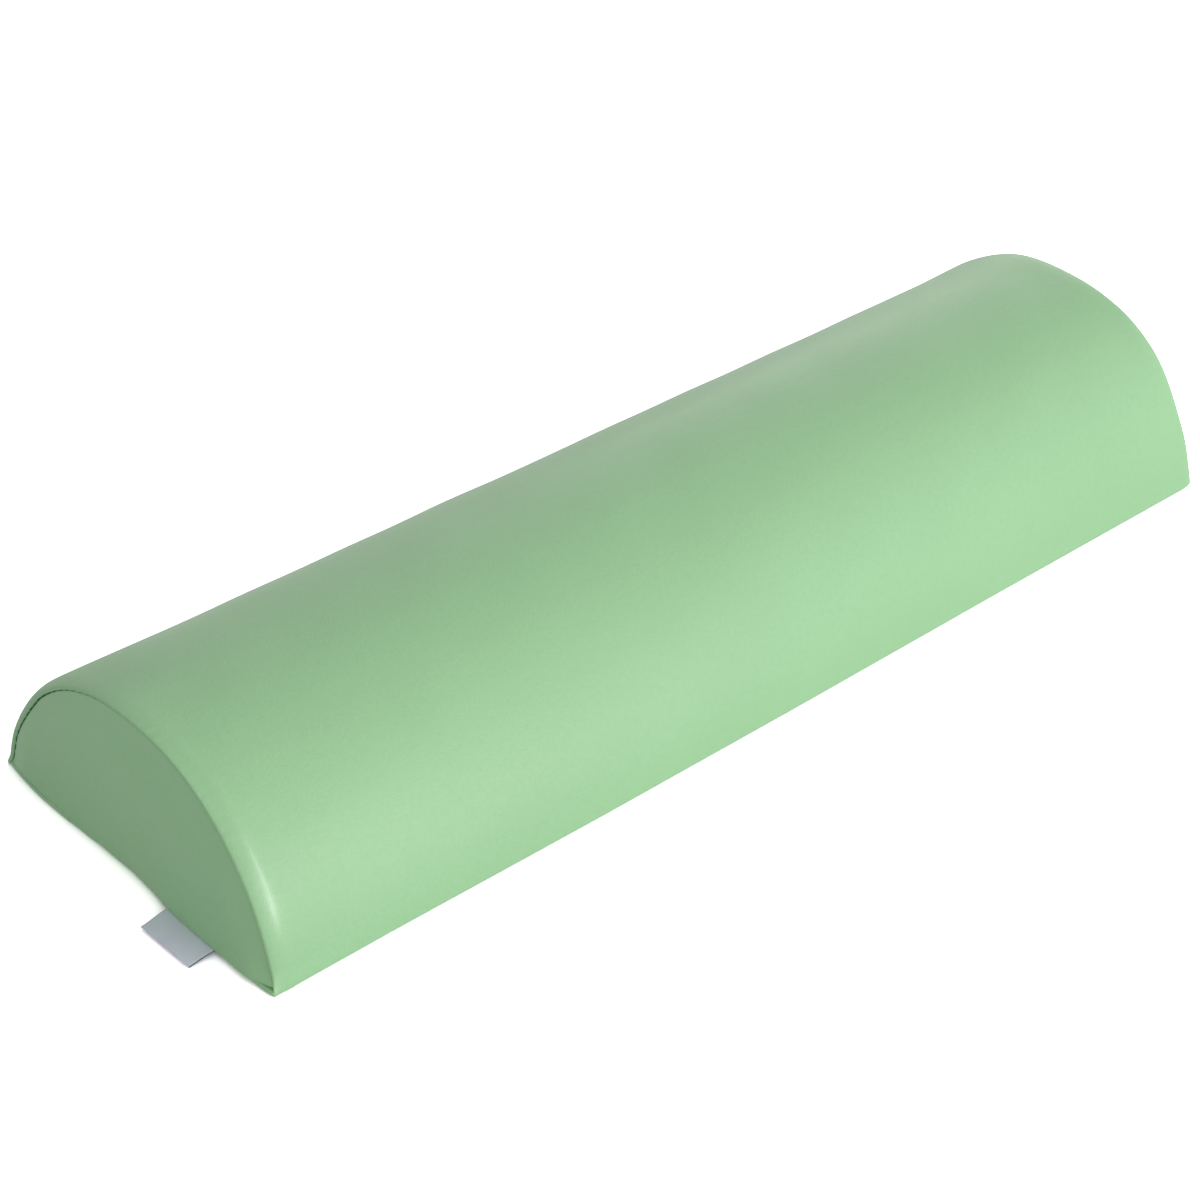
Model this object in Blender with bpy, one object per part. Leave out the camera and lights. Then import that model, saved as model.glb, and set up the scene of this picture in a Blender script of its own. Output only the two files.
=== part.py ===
"""Half round bolster: a foam half roll in a sewn cover that opens by a zip in its base.

Metres, +Z up. The origin is on the floor under the middle of the roll. X runs along the
roll, with the near end at -X, and the zip lies on the +Y side of the base. Every cover
panel is a sheet whose edges are rolled under and folded back along its inner face, as a
seam that is pressed open leaves them.
"""

import math

import bmesh
import bpy
from mathutils import Matrix, Vector

# Finished size
LENGTH = 0.600
WIDTH = 0.195
HEIGHT = 0.084
ROUNDNESS = 2.22
WIDEST_BELOW_FLOOR = 0.039

# How the tight cover draws in beside its end seams and crowns over the ends
DRAW_IN = 0.0012
DRAW_IN_LENGTH = 0.045
DRAW_IN_HEIGHT = 0.020
END_CROWN = 0.005
END_CROWN_REACH = 0.030

# Cover sheet and the gap between pieces that touch
SHEET = 0.0012
FIT = 0.0003
SEAM_GAP = 0.0004
ROLL_HOLLOW = 0.0010
ALLOWANCE = 0.009
RIM_PROUD = 0.0024

# Foam core
FOAM_RELIEF_SPARE = 0.0035
FOAM_RELIEF_RAMP = 0.006
SLIDER_ROOM = 0.0048

# Zip
ZIP_Y = 0.045
SLIDER_FROM_RIM = 0.060
ZIP_RECESS = 0.0035
RECESS_RAMP = 0.012
RECESS_END_RAMP = 0.013
PULL_SWING_ROOM = 0.004
SLOT_CLEARANCE = 0.0009
SLOT_END_RAMP = 0.009
SLOT_END_COVER = 0.003
COIL_WIDTH = 0.0022
COIL_THICK = 0.0018
TAPE_WIDTH = 0.014
TAPE_THICK = 0.0005
TAPE_TAIL = 0.014
STOP_LENGTH = 0.003
STOP_WALL = 0.0008
SLIDER_LENGTH = 0.009
SLIDER_PLATE = 0.0010
SLIDER_TOP_MARGIN = 0.0006
DIVIDER_WIDTH = 0.0008
DIVIDER_LENGTH = 0.003
BRIDGE_LENGTH = 0.0068
BRIDGE_WIDTH = 0.0016
BRIDGE_BAR = 0.0009

# Pull
PULL_LENGTH = 0.024
PULL_THICK = 0.0011
PULL_PLAY = 0.0004
PULL_FRAME_WIDTH = 0.0052
PULL_TAB_WIDTH = 0.0068
PULL_FRAME_LENGTH = 0.0065
PULL_EYE_RADIUS = 0.0013
PULL_FLOOR_GAP = 0.0004

# Side tag
TAG_WIDTH = 0.0335
TAG_REACH = 0.0175
TAG_Y = -0.0457
TAG_PLY = 0.0003
TAG_ROOT_GAP = 0.0001
TAG_OPENING = 0.0011
TAG_OPENS_OVER = 0.8
TAG_TIP_HEIGHT = 0.0016

# Sewing thread
THREAD_RADIUS = 0.00025
STITCH_FROM_EDGE = 0.003
TAG_TO_THREAD = 0.0010

# Counts of straight pieces in the curves
ARC_SEGMENTS = 28
END_FOOT_SEGMENTS = 6
ROLL_SEGMENTS = 6
HOLLOW_SEGMENTS = 3
CORNER_SEGMENTS = 3
PULL_TIP_SEGMENTS = 8
PULL_EYE_SEGMENTS = 12
TAG_STEPS = 14
TAG_FOLD_SEGMENTS = 6

# Shares of an end's outline, and of its crown's reach, at the loops over its face
END_SHRINKS = (0.4, 0.7)
END_CROWN_SHARES = (0.6, 0.3)

# Halvings that find a place on the wall to well under a micron
BISECTIONS = 40

# A section with more corners than this is a rounded one
STRAIGHT_OUTLINE = 8
SHARP_ANGLE = math.radians(35)

# Sizes that follow from the ones above
ROLL = 2 * SHEET + ROLL_HOLLOW
ROLL_RADIUS = ROLL / 2
HEM = ROLL_RADIUS + ALLOWANCE
RISE = HEIGHT + WIDEST_BELOW_FLOOR
FOOT_SHARE = 1 - ((WIDEST_BELOW_FLOOR + ROLL_RADIUS) / RISE) ** ROUNDNESS
HALF_SPAN = WIDTH / 2 / FOOT_SHARE ** (1 / ROUNDNESS)
RIM_X = LENGTH / 2
END_MIDDLE_HEIGHT = 0.4 * HEIGHT
TAG_ROOT = 2 * TAG_PLY + TAG_ROOT_GAP
END_INSET = ROLL + SEAM_GAP
END_FOOT = ROLL + TAG_ROOT + 2 * FIT
FOAM_GAP = SHEET + FIT
HEM_GAP = ROLL - SHEET
FOAM_RELIEF = HEM + FOAM_RELIEF_SPARE

# Heights in the zip, above the outer face of the panels beside it
TAPE_LOW = ROLL + FIT
TAPE_TOP = TAPE_LOW + TAPE_THICK
COIL_LOW = ROLL - COIL_THICK
PLATE_LOW = COIL_LOW - FIT - SLIDER_PLATE
PIN_HEIGHT = PLATE_LOW - PULL_PLAY - PULL_THICK / 2
BAR_TOP = PIN_HEIGHT - PULL_THICK / 2 - PULL_PLAY
BAR_LOW = BAR_TOP - BRIDGE_BAR

# Places in the zip, out from its centre line
TAPE_EDGE = DIVIDER_WIDTH / 2 + FIT
COIL_OUTER = TAPE_EDGE + COIL_WIDTH
SLIDER_HALF = COIL_OUTER + FIT + SLIDER_PLATE
SLOT_HALF = SLIDER_HALF + SLOT_CLEARANCE
TAPE_OUTER = TAPE_EDGE + TAPE_WIDTH
RECESS_HALF = max(SLOT_HALF + HEM, TAPE_OUTER)

# Places along the zip. The slider rests closed at the +X end, and travels to the same
# distance from the near rim
SLIDER_REST_X = RIM_X - SLIDER_FROM_RIM
STOP_X = SLIDER_REST_X + SLIDER_LENGTH / 2 + FIT
TAPE_END_X = STOP_X + STOP_LENGTH + TAPE_TAIL
SLOT_END_X = TAPE_END_X - SLOT_END_COVER
RECESS_X = max(TAPE_END_X, SLIDER_REST_X + PULL_LENGTH + PULL_SWING_ROOM)
MIDWAY_X = 0.4 * RECESS_X


def smooth(share):
    """A step from 0 to 1 that starts and ends level."""
    share = min(max(share, 0.0), 1.0)
    return share * share * (3 - 2 * share)


def draw_in(x, z):
    """How far the wall is drawn in at this place. Its feet flare out to the corners."""
    along = smooth(1 - (RIM_X - abs(x)) / DRAW_IN_LENGTH)
    return DRAW_IN * along * smooth(z / DRAW_IN_HEIGHT)


def wall_point(x, tilt, inset):
    """Point of the round wall at this angle from the top, set in from its outside."""
    side = math.copysign(1, tilt)
    across = abs(math.sin(tilt)) ** (2 / ROUNDNESS)
    up = math.cos(tilt) ** (2 / ROUNDNESS)
    normal_y = side * across ** (ROUNDNESS - 1) / HALF_SPAN
    normal_z = up ** (ROUNDNESS - 1) / RISE
    y = side * across * HALF_SPAN
    z = up * RISE - WIDEST_BELOW_FLOOR
    share = (inset + draw_in(x, z)) / math.hypot(normal_y, normal_z)
    return Vector((x, y - normal_y * share, z - normal_z * share))


def foot_tilt(x, inset, foot):
    """Angle from the top at which the wall, set in this far, comes down to this height."""
    low = 0.0
    high = math.pi / 2
    for _ in range(BISECTIONS):
        middle = (low + high) / 2
        if wall_point(x, middle, inset).z > foot:
            low = middle
        else:
            high = middle
    return low


def wall_arc(x, inset, foot):
    """Points over the wall at x, from the front foot to the rear one."""
    reach = foot_tilt(x, inset, foot)
    turns = [2 * i / ARC_SEGMENTS - 1 for i in range(ARC_SEGMENTS + 1)]
    return [wall_point(x, reach * turn, inset) for turn in turns]


def hem_steps():
    """(edge, depth) steps round a rolled edge, from the outer face to the inner one."""
    steps = []
    for i in range(1, ROLL_SEGMENTS + 1):
        turn = math.pi * i / ROLL_SEGMENTS
        steps.append((1 - math.sin(turn), 1 - math.cos(turn)))
    steps = [(edge * ROLL_RADIUS, depth * ROLL_RADIUS) for edge, depth in steps]
    steps.append((HEM, ROLL))
    steps.append((HEM, ROLL - SHEET))
    inner = ROLL_RADIUS - SHEET
    for i in range(HOLLOW_SEGMENTS):
        turn = math.pi * (1 - i / HOLLOW_SEGMENTS)
        edge = ROLL_RADIUS - inner * math.sin(turn)
        steps.append((edge, ROLL_RADIUS - inner * math.cos(turn)))
    return steps


def new_object(name, bm, material, smooth_shaded=True):
    bmesh.ops.recalc_face_normals(bm, faces=bm.faces)
    mesh = bpy.data.meshes.new(name)
    bm.to_mesh(mesh)
    bm.free()
    mesh.materials.append(material)
    if smooth_shaded:
        mesh.shade_smooth()
        mesh.set_sharp_from_angle(angle=SHARP_ANGLE)
    obj = bpy.data.objects.new(name, mesh)
    bpy.context.collection.objects.link(obj)
    return obj


def new_material(name, colour, roughness, metallic=0.0):
    material = bpy.data.materials.new(name)
    material.use_nodes = True
    material.diffuse_color = (*colour, 1)
    shader = material.node_tree.nodes["Principled BSDF"]
    shader.inputs["Base Color"].default_value = (*colour, 1)
    shader.inputs["Roughness"].default_value = roughness
    shader.inputs["Metallic"].default_value = metallic
    return material


def add_points(bm, points):
    return [bm.verts.new(point) for point in points]


def bridge(bm, loops):
    """Quads from each closed loop of points to the next."""
    for loop, following in zip(loops, loops[1:]):
        for i in range(len(loop)):
            bm.faces.new((loop[i - 1], loop[i], following[i], following[i - 1]))


def fan(bm, loop, centre):
    """Triangles from a closed loop of points to its centre."""
    middle = bm.verts.new(centre)
    for i in range(len(loop)):
        bm.faces.new((loop[i - 1], loop[i], middle))


def border(rows):
    """The edge of a grid, as one closed loop."""
    near = rows[0]
    rear = [row[-1] for row in rows[1:-1]]
    far = rows[-1][::-1]
    front = [row[0] for row in rows[-2:0:-1]]
    return near + rear + far + front


def fill_grid(bm, rows):
    for row, following in zip(rows, rows[1:]):
        for i in range(len(row) - 1):
            bm.faces.new((row[i], row[i + 1], following[i + 1], following[i]))


def hemmed_sheet(name, rows_at, material):
    """A four-sided sheet with rolled edges. rows_at gives its grid at (edge, depth)."""
    bm = bmesh.new()
    outer = [add_points(bm, row) for row in rows_at(ROLL_RADIUS, 0.0)]
    inner = [add_points(bm, row) for row in rows_at(ROLL_RADIUS, SHEET)]
    loops = [add_points(bm, border(rows_at(*step))) for step in hem_steps()]
    fill_grid(bm, outer)
    fill_grid(bm, inner)
    bridge(bm, [border(outer), *loops, border(inner)])
    return new_object(name, bm, material)


def arch_rows(edge, depth):
    """Grid of the arch panel. Its inner stations catch the draw-in beside the ends."""
    drawn = [RIM_X - DRAW_IN_LENGTH * share for share in (0.5, 1.0)]
    stations = [RIM_X - edge, *drawn, 0.0]
    stations = [-x for x in stations] + stations[-2::-1]
    return [wall_arc(x, depth, edge) for x in stations]


def end_crown(edge):
    share = min(edge / END_CROWN_REACH, 1.0)
    return END_CROWN * (1 - (1 - share) ** 2)


def half_round_loop(side, back, edge, foot, shrink=1.0):
    """Outline across an end: back is its depth behind the rim, edge its distance in from
    the end panel's seam. shrink draws it towards the middle of the end."""
    x = side * (RIM_X - back + end_crown(edge + HEIGHT * (1 - shrink)))
    arch = wall_arc(x, END_INSET + edge, foot)
    front = arch[0]
    rear = arch[-1]
    steps = range(1, END_FOOT_SEGMENTS)
    base = [rear.lerp(front, i / END_FOOT_SEGMENTS) for i in steps]
    middle = end_middle(x)
    return [middle.lerp(point, shrink) for point in arch + base]


def end_middle(x):
    return Vector((x, 0, END_MIDDLE_HEIGHT))


def end_face_loops(side, depth):
    """Loops over an end panel's face, from its middle out to the start of its roll."""
    loops = []
    for shrink in END_SHRINKS:
        loops.append((END_CROWN_REACH * END_CROWN_SHARES[0], shrink))
    for share in END_CROWN_SHARES:
        loops.append((END_CROWN_REACH * share, 1.0))
    loops.append((ROLL_RADIUS, 1.0))
    back = RIM_PROUD + depth
    return [half_round_loop(side, back, e, END_FOOT + e, s) for e, s in loops]


def make_end_panel(name, side, material):
    bm = bmesh.new()
    outer = [add_points(bm, loop) for loop in end_face_loops(side, 0.0)]
    inner = [add_points(bm, loop) for loop in end_face_loops(side, SHEET)]
    hem = []
    for edge, depth in hem_steps():
        loop = half_round_loop(side, RIM_PROUD + depth, edge, END_FOOT + edge)
        hem.append(add_points(bm, loop))
    bridge(bm, [*outer, *hem, *inner[::-1]])
    outer_x = side * (RIM_X - RIM_PROUD + END_CROWN)
    fan(bm, outer[0], end_middle(outer_x))
    fan(bm, inner[0], end_middle(outer_x - side * SHEET))
    return new_object(name, bm, material)


def zip_share(x, y):
    """1 over the zip, falling to 0 on the flat of the base around it."""
    along = smooth(1 - (abs(x) - RECESS_X) / RECESS_END_RAMP)
    across = smooth(1 - (abs(y - ZIP_Y) - RECESS_HALF) / RECESS_RAMP)
    return along * across


def base_point(x, y, height):
    return Vector((x, y, height + ZIP_RECESS * zip_share(x, y)))


def slot_half(x):
    """Half the width of the opening between the base panels. Its ends are sewn shut."""
    open_share = smooth((SLOT_END_X - abs(x)) / SLOT_END_RAMP)
    return FIT / 2 + (SLOT_HALF - FIT / 2) * open_share


def base_seam_y(x):
    """Where the base panels end beside the arch panel's folded edge."""
    tilt = foot_tilt(x, ROLL, ROLL_RADIUS)
    return wall_point(x, tilt, ROLL).y - SEAM_GAP


def base_stations(edge):
    """Places along the base: its ends, the ramps of the recess and slot, and its middle."""
    ramp = [RECESS_X + RECESS_END_RAMP * share for share in (1.0, 0.5, 0.0)]
    slot = [SLOT_END_X - SLOT_END_RAMP * share for share in (0.0, 0.5, 1.0)]
    stations = [RIM_X - edge, *ramp, *slot, MIDWAY_X]
    return [-x for x in stations] + stations[::-1]


def make_base_panel(name, side, material):
    """side is -1 for the panel on the front of the zip and 1 for the one behind it."""

    def rows_at(edge, depth):
        rows = []
        for x in base_stations(edge):
            outer = side * (base_seam_y(x) - edge)
            inner = ZIP_Y + side * (slot_half(x) + edge)
            ramp = [RECESS_HALF + RECESS_RAMP * share for share in (1.0, 0.5, 0.0)]
            places = [outer, *(ZIP_Y + side * out for out in ramp), inner]
            rows.append([base_point(x, y, depth) for y in places])
        return rows

    return hemmed_sheet(name, rows_at, material)


def relief(distance):
    """Extra depth left in the foam for a folded edge this far away."""
    return HEM_GAP * smooth(1 - (distance - FOAM_RELIEF) / FOAM_RELIEF_RAMP)


def foam_foot(x):
    """Height of the foam's lower corners. Beside the ends it also clears the tag's root."""
    end_share = relief(RIM_X - abs(x)) / HEM_GAP
    return FOAM_GAP + HEM_GAP + (TAG_ROOT + FIT) * end_share


def foam_floor(x, y):
    """Height of the foam's underside: it clears the hems, the zip and its slider."""
    to_end = RIM_X - abs(x)
    to_seam = base_seam_y(x) - abs(y)
    to_slot = abs(y - ZIP_Y) - SLOT_HALF
    spared = relief(min(to_end, to_seam, to_slot)) - HEM_GAP
    return foam_foot(x) + spared + (ZIP_RECESS + SLIDER_ROOM) * zip_share(x, y)


def foam_base_places():
    """Places across the foam's underside, from the rear seam to the front one."""
    seam = base_seam_y(0.0)
    ramp = [RECESS_HALF + RECESS_RAMP * share for share in (1.0, 0.5, 0.0)]
    behind = [ZIP_Y + out for out in ramp]
    before = [ZIP_Y - out for out in reversed(ramp)]
    relieved = [seam - FOAM_RELIEF, seam - FOAM_RELIEF - FOAM_RELIEF_RAMP]
    return [relieved[0], *behind, *before, -relieved[1], -relieved[0]]


def foam_loop(x, wall_relief=None):
    """Outline of the foam at x. Its wall steps in beside every folded edge."""
    to_end = RIM_X - abs(x)
    arch = []
    foot = foam_foot(x)
    reach = foot_tilt(x, END_INSET, foot)
    for i in range(ARC_SEGMENTS + 1):
        tilt = reach * (2 * i / ARC_SEGMENTS - 1)
        height = wall_point(x, tilt, END_INSET).z - foot
        inset = END_INSET - HEM_GAP + relief(min(to_end, height))
        arch.append(wall_point(x, tilt, inset))
    base = [Vector((x, y, foam_floor(x, y))) for y in foam_base_places()]
    return arch + base


def foam_end_loop(side, edge, shrink=1.0):
    """Loop over the foam's end, edge in from its outline."""
    back = RIM_PROUD + FOAM_GAP + relief(edge)
    x = side * (RIM_X - back + end_crown(edge + HEIGHT * (1 - shrink)))
    foot = END_FOOT + edge
    arch = wall_arc(x, END_INSET + edge, foot)
    base = []
    for y in foam_base_places():
        share = y / base_seam_y(0.0)
        base.append(Vector((x, share * arch[-1].y, foot)))
    middle = end_middle(x)
    return [middle.lerp(point, shrink) for point in arch + base]


def foam_end_loops(side):
    """Loops from the middle of the foam's end out to its outline."""
    relieved = [FOAM_RELIEF + FOAM_RELIEF_RAMP, FOAM_RELIEF, 0.0]
    loops = [foam_end_loop(side, relieved[0], shrink) for shrink in END_SHRINKS]
    return loops + [foam_end_loop(side, edge) for edge in relieved]


def make_foam_core(material):
    ends = [RIM_X - FOAM_RELIEF - FOAM_RELIEF_RAMP * share for share in (0.0, 1.0)]
    ramp = [RECESS_X + RECESS_END_RAMP * share for share in (1.0, 0.5, 0.0)]
    half = sorted([*ends, *ramp, RIM_X - DRAW_IN_LENGTH, MIDWAY_X], reverse=True)
    stations = [-x for x in half] + half[::-1]
    near = foam_end_loops(-1)
    far = foam_end_loops(1)
    loops = near + [foam_loop(x) for x in stations] + far[::-1]
    bm = bmesh.new()
    rings = [add_points(bm, loop) for loop in loops]
    bridge(bm, rings)
    crown_x = RIM_X - RIM_PROUD - FOAM_GAP + END_CROWN
    fan(bm, rings[0], end_middle(-crown_x))
    fan(bm, rings[-1], end_middle(crown_x))
    return new_object("foam_core", bm, material)


def prism(name, outline, start, end, axis, material):
    """A solid of constant section. The outline is in the plane across the axis: (y, z)
    for X and (x, z) for Y."""
    bm = bmesh.new()
    rings = []
    for place in (start, end):
        if axis == "X":
            points = [(place, across, up) for across, up in outline]
        else:
            points = [(across, place, up) for across, up in outline]
        rings.append(add_points(bm, points))
    bridge(bm, rings)
    bm.faces.new(rings[0])
    bm.faces.new(rings[1])
    return new_object(name, bm, material, smooth_shaded=len(outline) > STRAIGHT_OUTLINE)


def rectangle(low, high, bottom, top):
    return [(low, bottom), (high, bottom), (high, top), (low, top)]


def zip_outline(side, outline):
    """An outline in the zip's own heights and distances, placed beside its centre."""
    return [(ZIP_Y + side * out, ZIP_RECESS + up) for out, up in outline]


def rounded_outline(low, high, bottom, top):
    """A rectangle with quarter round corners half as deep as it is tall."""
    radius = (top - bottom) / 2
    points = []
    corners = ((high, top, 0), (low, top, 1), (low, bottom, 2), (high, bottom, 3))
    for out, up, quarter in corners:
        centre_out = out - math.copysign(radius, out - (low + high) / 2)
        centre_up = up - math.copysign(radius, up - (bottom + top) / 2)
        for i in range(CORNER_SEGMENTS):
            turn = math.pi / 2 * (quarter + i / CORNER_SEGMENTS)
            point_out = centre_out + radius * math.cos(turn)
            points.append((point_out, centre_up + radius * math.sin(turn)))
    return points


def combine(target, helper, operation):
    """Adds or cuts the helper as a Boolean modifier and keeps it out of the render."""
    modifier = target.modifiers.new(helper.name, "BOOLEAN")
    modifier.operation = operation
    modifier.object = helper
    helper.hide_render = True
    helper.display_type = "WIRE"


def make_zip_row(word, side, tape_material, coil_material):
    """The tape and the coil row on one side of the zip."""
    tape = rectangle(TAPE_EDGE, TAPE_OUTER, TAPE_LOW, TAPE_TOP)
    name = f"zip_tape_{word}"
    prism(name, zip_outline(side, tape), -TAPE_END_X, TAPE_END_X, "X", tape_material)
    coil = rounded_outline(TAPE_EDGE, COIL_OUTER, COIL_LOW, ROLL)
    start = -STOP_X + FIT
    name = f"zip_coil_{word}"
    prism(name, zip_outline(side, coil), start, STOP_X - FIT, "X", coil_material)


def make_top_stop(word, side, material):
    """A clip over one tape's edge, past the closed slider. Its web is as thin as leaves
    the two clips apart."""
    inner = FIT / 2
    web = DIVIDER_WIDTH / 2
    low = TAPE_LOW - FIT
    top = TAPE_TOP + FIT
    outline = [
        (inner, low - STOP_WALL),
        (COIL_OUTER, low - STOP_WALL),
        (COIL_OUTER, low),
        (web, low),
        (web, top),
        (COIL_OUTER, top),
        (COIL_OUTER, top + STOP_WALL),
        (inner, top + STOP_WALL),
    ]
    end = STOP_X + STOP_LENGTH
    prism(f"zip_top_stop_{word}", zip_outline(side, outline), STOP_X, end, "X", material)


def make_bottom_stop(material):
    """One staple across both tapes at the open end."""
    web = DIVIDER_WIDTH / 2
    low = TAPE_LOW - FIT
    top = TAPE_TOP + FIT
    half = [
        (COIL_OUTER, low - STOP_WALL),
        (COIL_OUTER, low),
        (web, low),
        (web, top),
        (COIL_OUTER, top),
        (COIL_OUTER, top + STOP_WALL),
    ]
    outline = half + [(-out, up) for out, up in reversed(half)]
    start = -STOP_X - STOP_LENGTH
    prism("zip_bottom_stop", zip_outline(1, outline), start, -STOP_X, "X", material)


def make_slider(material):
    """A channel under the coils, a plate over the tapes, the divider that joins them and
    the bridge below that holds the pull."""
    near = SLIDER_REST_X - SLIDER_LENGTH / 2
    far = SLIDER_REST_X + SLIDER_LENGTH / 2
    wall = SLIDER_HALF - SLIDER_PLATE
    floor = PLATE_LOW + SLIDER_PLATE
    flange = TAPE_LOW - FIT
    half = [
        (SLIDER_HALF, PLATE_LOW),
        (SLIDER_HALF, flange),
        (wall, flange),
        (wall, floor),
    ]
    channel = half + [(-out, up) for out, up in reversed(half)]
    slider = prism("zip_slider", zip_outline(1, channel), near, far, "X", material)

    top_low = TAPE_TOP + FIT
    top_half = SLIDER_HALF - SLIDER_TOP_MARGIN
    plate = rectangle(-top_half, top_half, top_low, top_low + SLIDER_PLATE)
    plate = prism("slider_top_plate", zip_outline(1, plate), near, far, "X", material)
    divider = rectangle(
        -DIVIDER_WIDTH / 2,
        DIVIDER_WIDTH / 2,
        floor - SLIDER_PLATE / 2,
        top_low + SLIDER_PLATE / 2,
    )
    divider = zip_outline(1, divider)
    divider = prism("slider_divider", divider, far - DIVIDER_LENGTH, far - FIT, "X", material)

    outer = BRIDGE_LENGTH / 2
    inner = outer - BRIDGE_BAR
    sunk = PLATE_LOW + SLIDER_PLATE / 2
    bridge_half = [(outer, sunk), (outer, BAR_LOW), (-outer, BAR_LOW), (-outer, sunk)]
    window = [(-inner, sunk), (-inner, BAR_TOP), (inner, BAR_TOP), (inner, sunk)]
    outline = [(SLIDER_REST_X + x, ZIP_RECESS + up) for x, up in bridge_half + window]
    start = ZIP_Y - BRIDGE_WIDTH / 2
    end = ZIP_Y + BRIDGE_WIDTH / 2
    holder = prism("slider_bridge", outline, start, end, "Y", material)

    for helper in (plate, divider, holder):
        combine(slider, helper, "UNION")
    centre = Vector((SLIDER_REST_X, ZIP_Y, ZIP_RECESS))
    slider.data.transform(Matrix.Translation(-centre))
    slider.location = centre


def pull_droop():
    """How far the pull hangs down from level before its tip nears the floor."""
    drop = ZIP_RECESS + PIN_HEIGHT - PULL_THICK / 2 - PULL_FLOOR_GAP
    return math.asin(drop / PULL_LENGTH)


def make_pull(material):
    """A flat tab with a window: the crosspiece in front of the window is its pin, which
    turns inside the slider's bridge. The object's origin is on the pin's axis."""
    pin = PULL_THICK / 2
    frame = PULL_FRAME_WIDTH / 2
    tab = PULL_TAB_WIDTH / 2
    tip = PULL_LENGTH - tab
    outline = [(pin, -frame), (pin, frame), (-PULL_FRAME_LENGTH, frame)]
    for i in range(PULL_TIP_SEGMENTS + 1):
        turn = math.pi * (0.5 + i / PULL_TIP_SEGMENTS)
        outline.append((-tip + tab * math.cos(turn), tab * math.sin(turn)))
    outline.append((-PULL_FRAME_LENGTH, -frame))
    pull = plate_of(outline, PULL_THICK, "zip_pull", material)

    window_half = BRIDGE_WIDTH / 2 + PULL_PLAY
    window = rectangle(-PULL_FRAME_LENGTH, -pin, -window_half, window_half)
    window = plate_of(window, 2 * PULL_THICK, "pull_window", material)
    eye = []
    for i in range(PULL_EYE_SEGMENTS):
        turn = 2 * math.pi * i / PULL_EYE_SEGMENTS
        x = PULL_EYE_RADIUS * math.cos(turn) - tip
        eye.append((x, PULL_EYE_RADIUS * math.sin(turn)))
    eye = plate_of(eye, 2 * PULL_THICK, "pull_eye", material)
    for helper in (window, eye):
        combine(pull, helper, "DIFFERENCE")
        helper.parent = pull
    pull.location = (SLIDER_REST_X, ZIP_Y, ZIP_RECESS + PIN_HEIGHT)
    pull.rotation_euler = (0, -pull_droop(), 0)


def plate_of(outline, thickness, name, material):
    """A level plate of this (x, y) outline, half above and half below its origin."""
    bm = bmesh.new()
    rings = []
    for z in (-thickness / 2, thickness / 2):
        rings.append(add_points(bm, [(x, y, z) for x, y in outline]))
    bridge(bm, rings)
    bm.faces.new(rings[0])
    bm.faces.new(rings[1])
    return new_object(name, bm, material, smooth_shaded=False)


def tag_line(share):
    """Middle line of the tag from its sewn root, 0, to its fold, 1: (x, z, half gap)."""
    root_x = -RIM_X + HEM
    tip_x = -RIM_X - TAG_REACH
    root_z = ROLL + FIT + TAG_ROOT / 2
    x = root_x + (tip_x - root_x) * share
    outside = max(0.0, (-RIM_X + ROLL_RADIUS - x) / (TAG_REACH + ROLL_RADIUS))
    z = root_z + (TAG_TIP_HEIGHT - root_z) * smooth(outside)
    bulge = math.sin(math.pi / 2 * min(outside / TAG_OPENS_OVER, 1.0))
    half_gap = (TAG_PLY + TAG_ROOT_GAP) / 2 + bulge * TAG_OPENING / 2
    return x, z, half_gap


def make_side_tag(material):
    """A woven strip folded double, with both ends caught in the near bottom seam."""
    line = [tag_line(i / TAG_STEPS) for i in range(TAG_STEPS + 1)]
    upper_out = [(x, z + gap + TAG_PLY / 2) for x, z, gap in line]
    upper_in = [(x, z + gap - TAG_PLY / 2) for x, z, gap in line]
    lower_in = [(x, z - gap + TAG_PLY / 2) for x, z, gap in line]
    lower_out = [(x, z - gap - TAG_PLY / 2) for x, z, gap in line]
    tip_x, tip_z, gap = line[-1]
    fold_out = []
    fold_in = []
    for i in range(1, TAG_FOLD_SEGMENTS):
        turn = math.pi * (0.5 + i / TAG_FOLD_SEGMENTS)
        reach = Vector((math.cos(turn), math.sin(turn)))
        outer = reach * (gap + TAG_PLY / 2)
        inner = reach * (gap - TAG_PLY / 2)
        fold_out.append((tip_x + outer.x, tip_z + outer.y))
        fold_in.append((tip_x + inner.x, tip_z + inner.y))
    outside = upper_out + fold_out + lower_out[::-1]
    inside = lower_in + fold_in[::-1] + upper_in[::-1]
    start = TAG_Y - TAG_WIDTH / 2
    end = TAG_Y + TAG_WIDTH / 2
    prism("side_tag", outside + inside, start, end, "Y", material)


def make_thread(name, points, material):
    curve = bpy.data.curves.new(name, "CURVE")
    curve.dimensions = "3D"
    curve.bevel_depth = THREAD_RADIUS
    curve.bevel_resolution = 1
    curve.use_fill_caps = True
    spline = curve.splines.new("POLY")
    spline.points.add(len(points) - 1)
    for place, point in zip(spline.points, points):
        place.co = (*point, 1)
    curve.materials.append(material)
    obj = bpy.data.objects.new(name, curve)
    bpy.context.collection.objects.link(obj)


def groove_depth(half_gap):
    """How far the thread lies below the centres of the two rolls that it runs between."""
    return math.sqrt((ROLL_RADIUS + FIT + THREAD_RADIUS) ** 2 - half_gap**2)


def arc_thread(name, side, material):
    """Stitching between the arch panel's folded edge and an end panel's roll."""
    inset = END_INSET + THREAD_RADIUS
    back = RIM_PROUD + ROLL_RADIUS - groove_depth(ROLL_RADIUS - THREAD_RADIUS)
    foot = END_FOOT + ROLL_RADIUS
    make_thread(name, wall_arc(side * (RIM_X - back), inset, foot), material)


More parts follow.
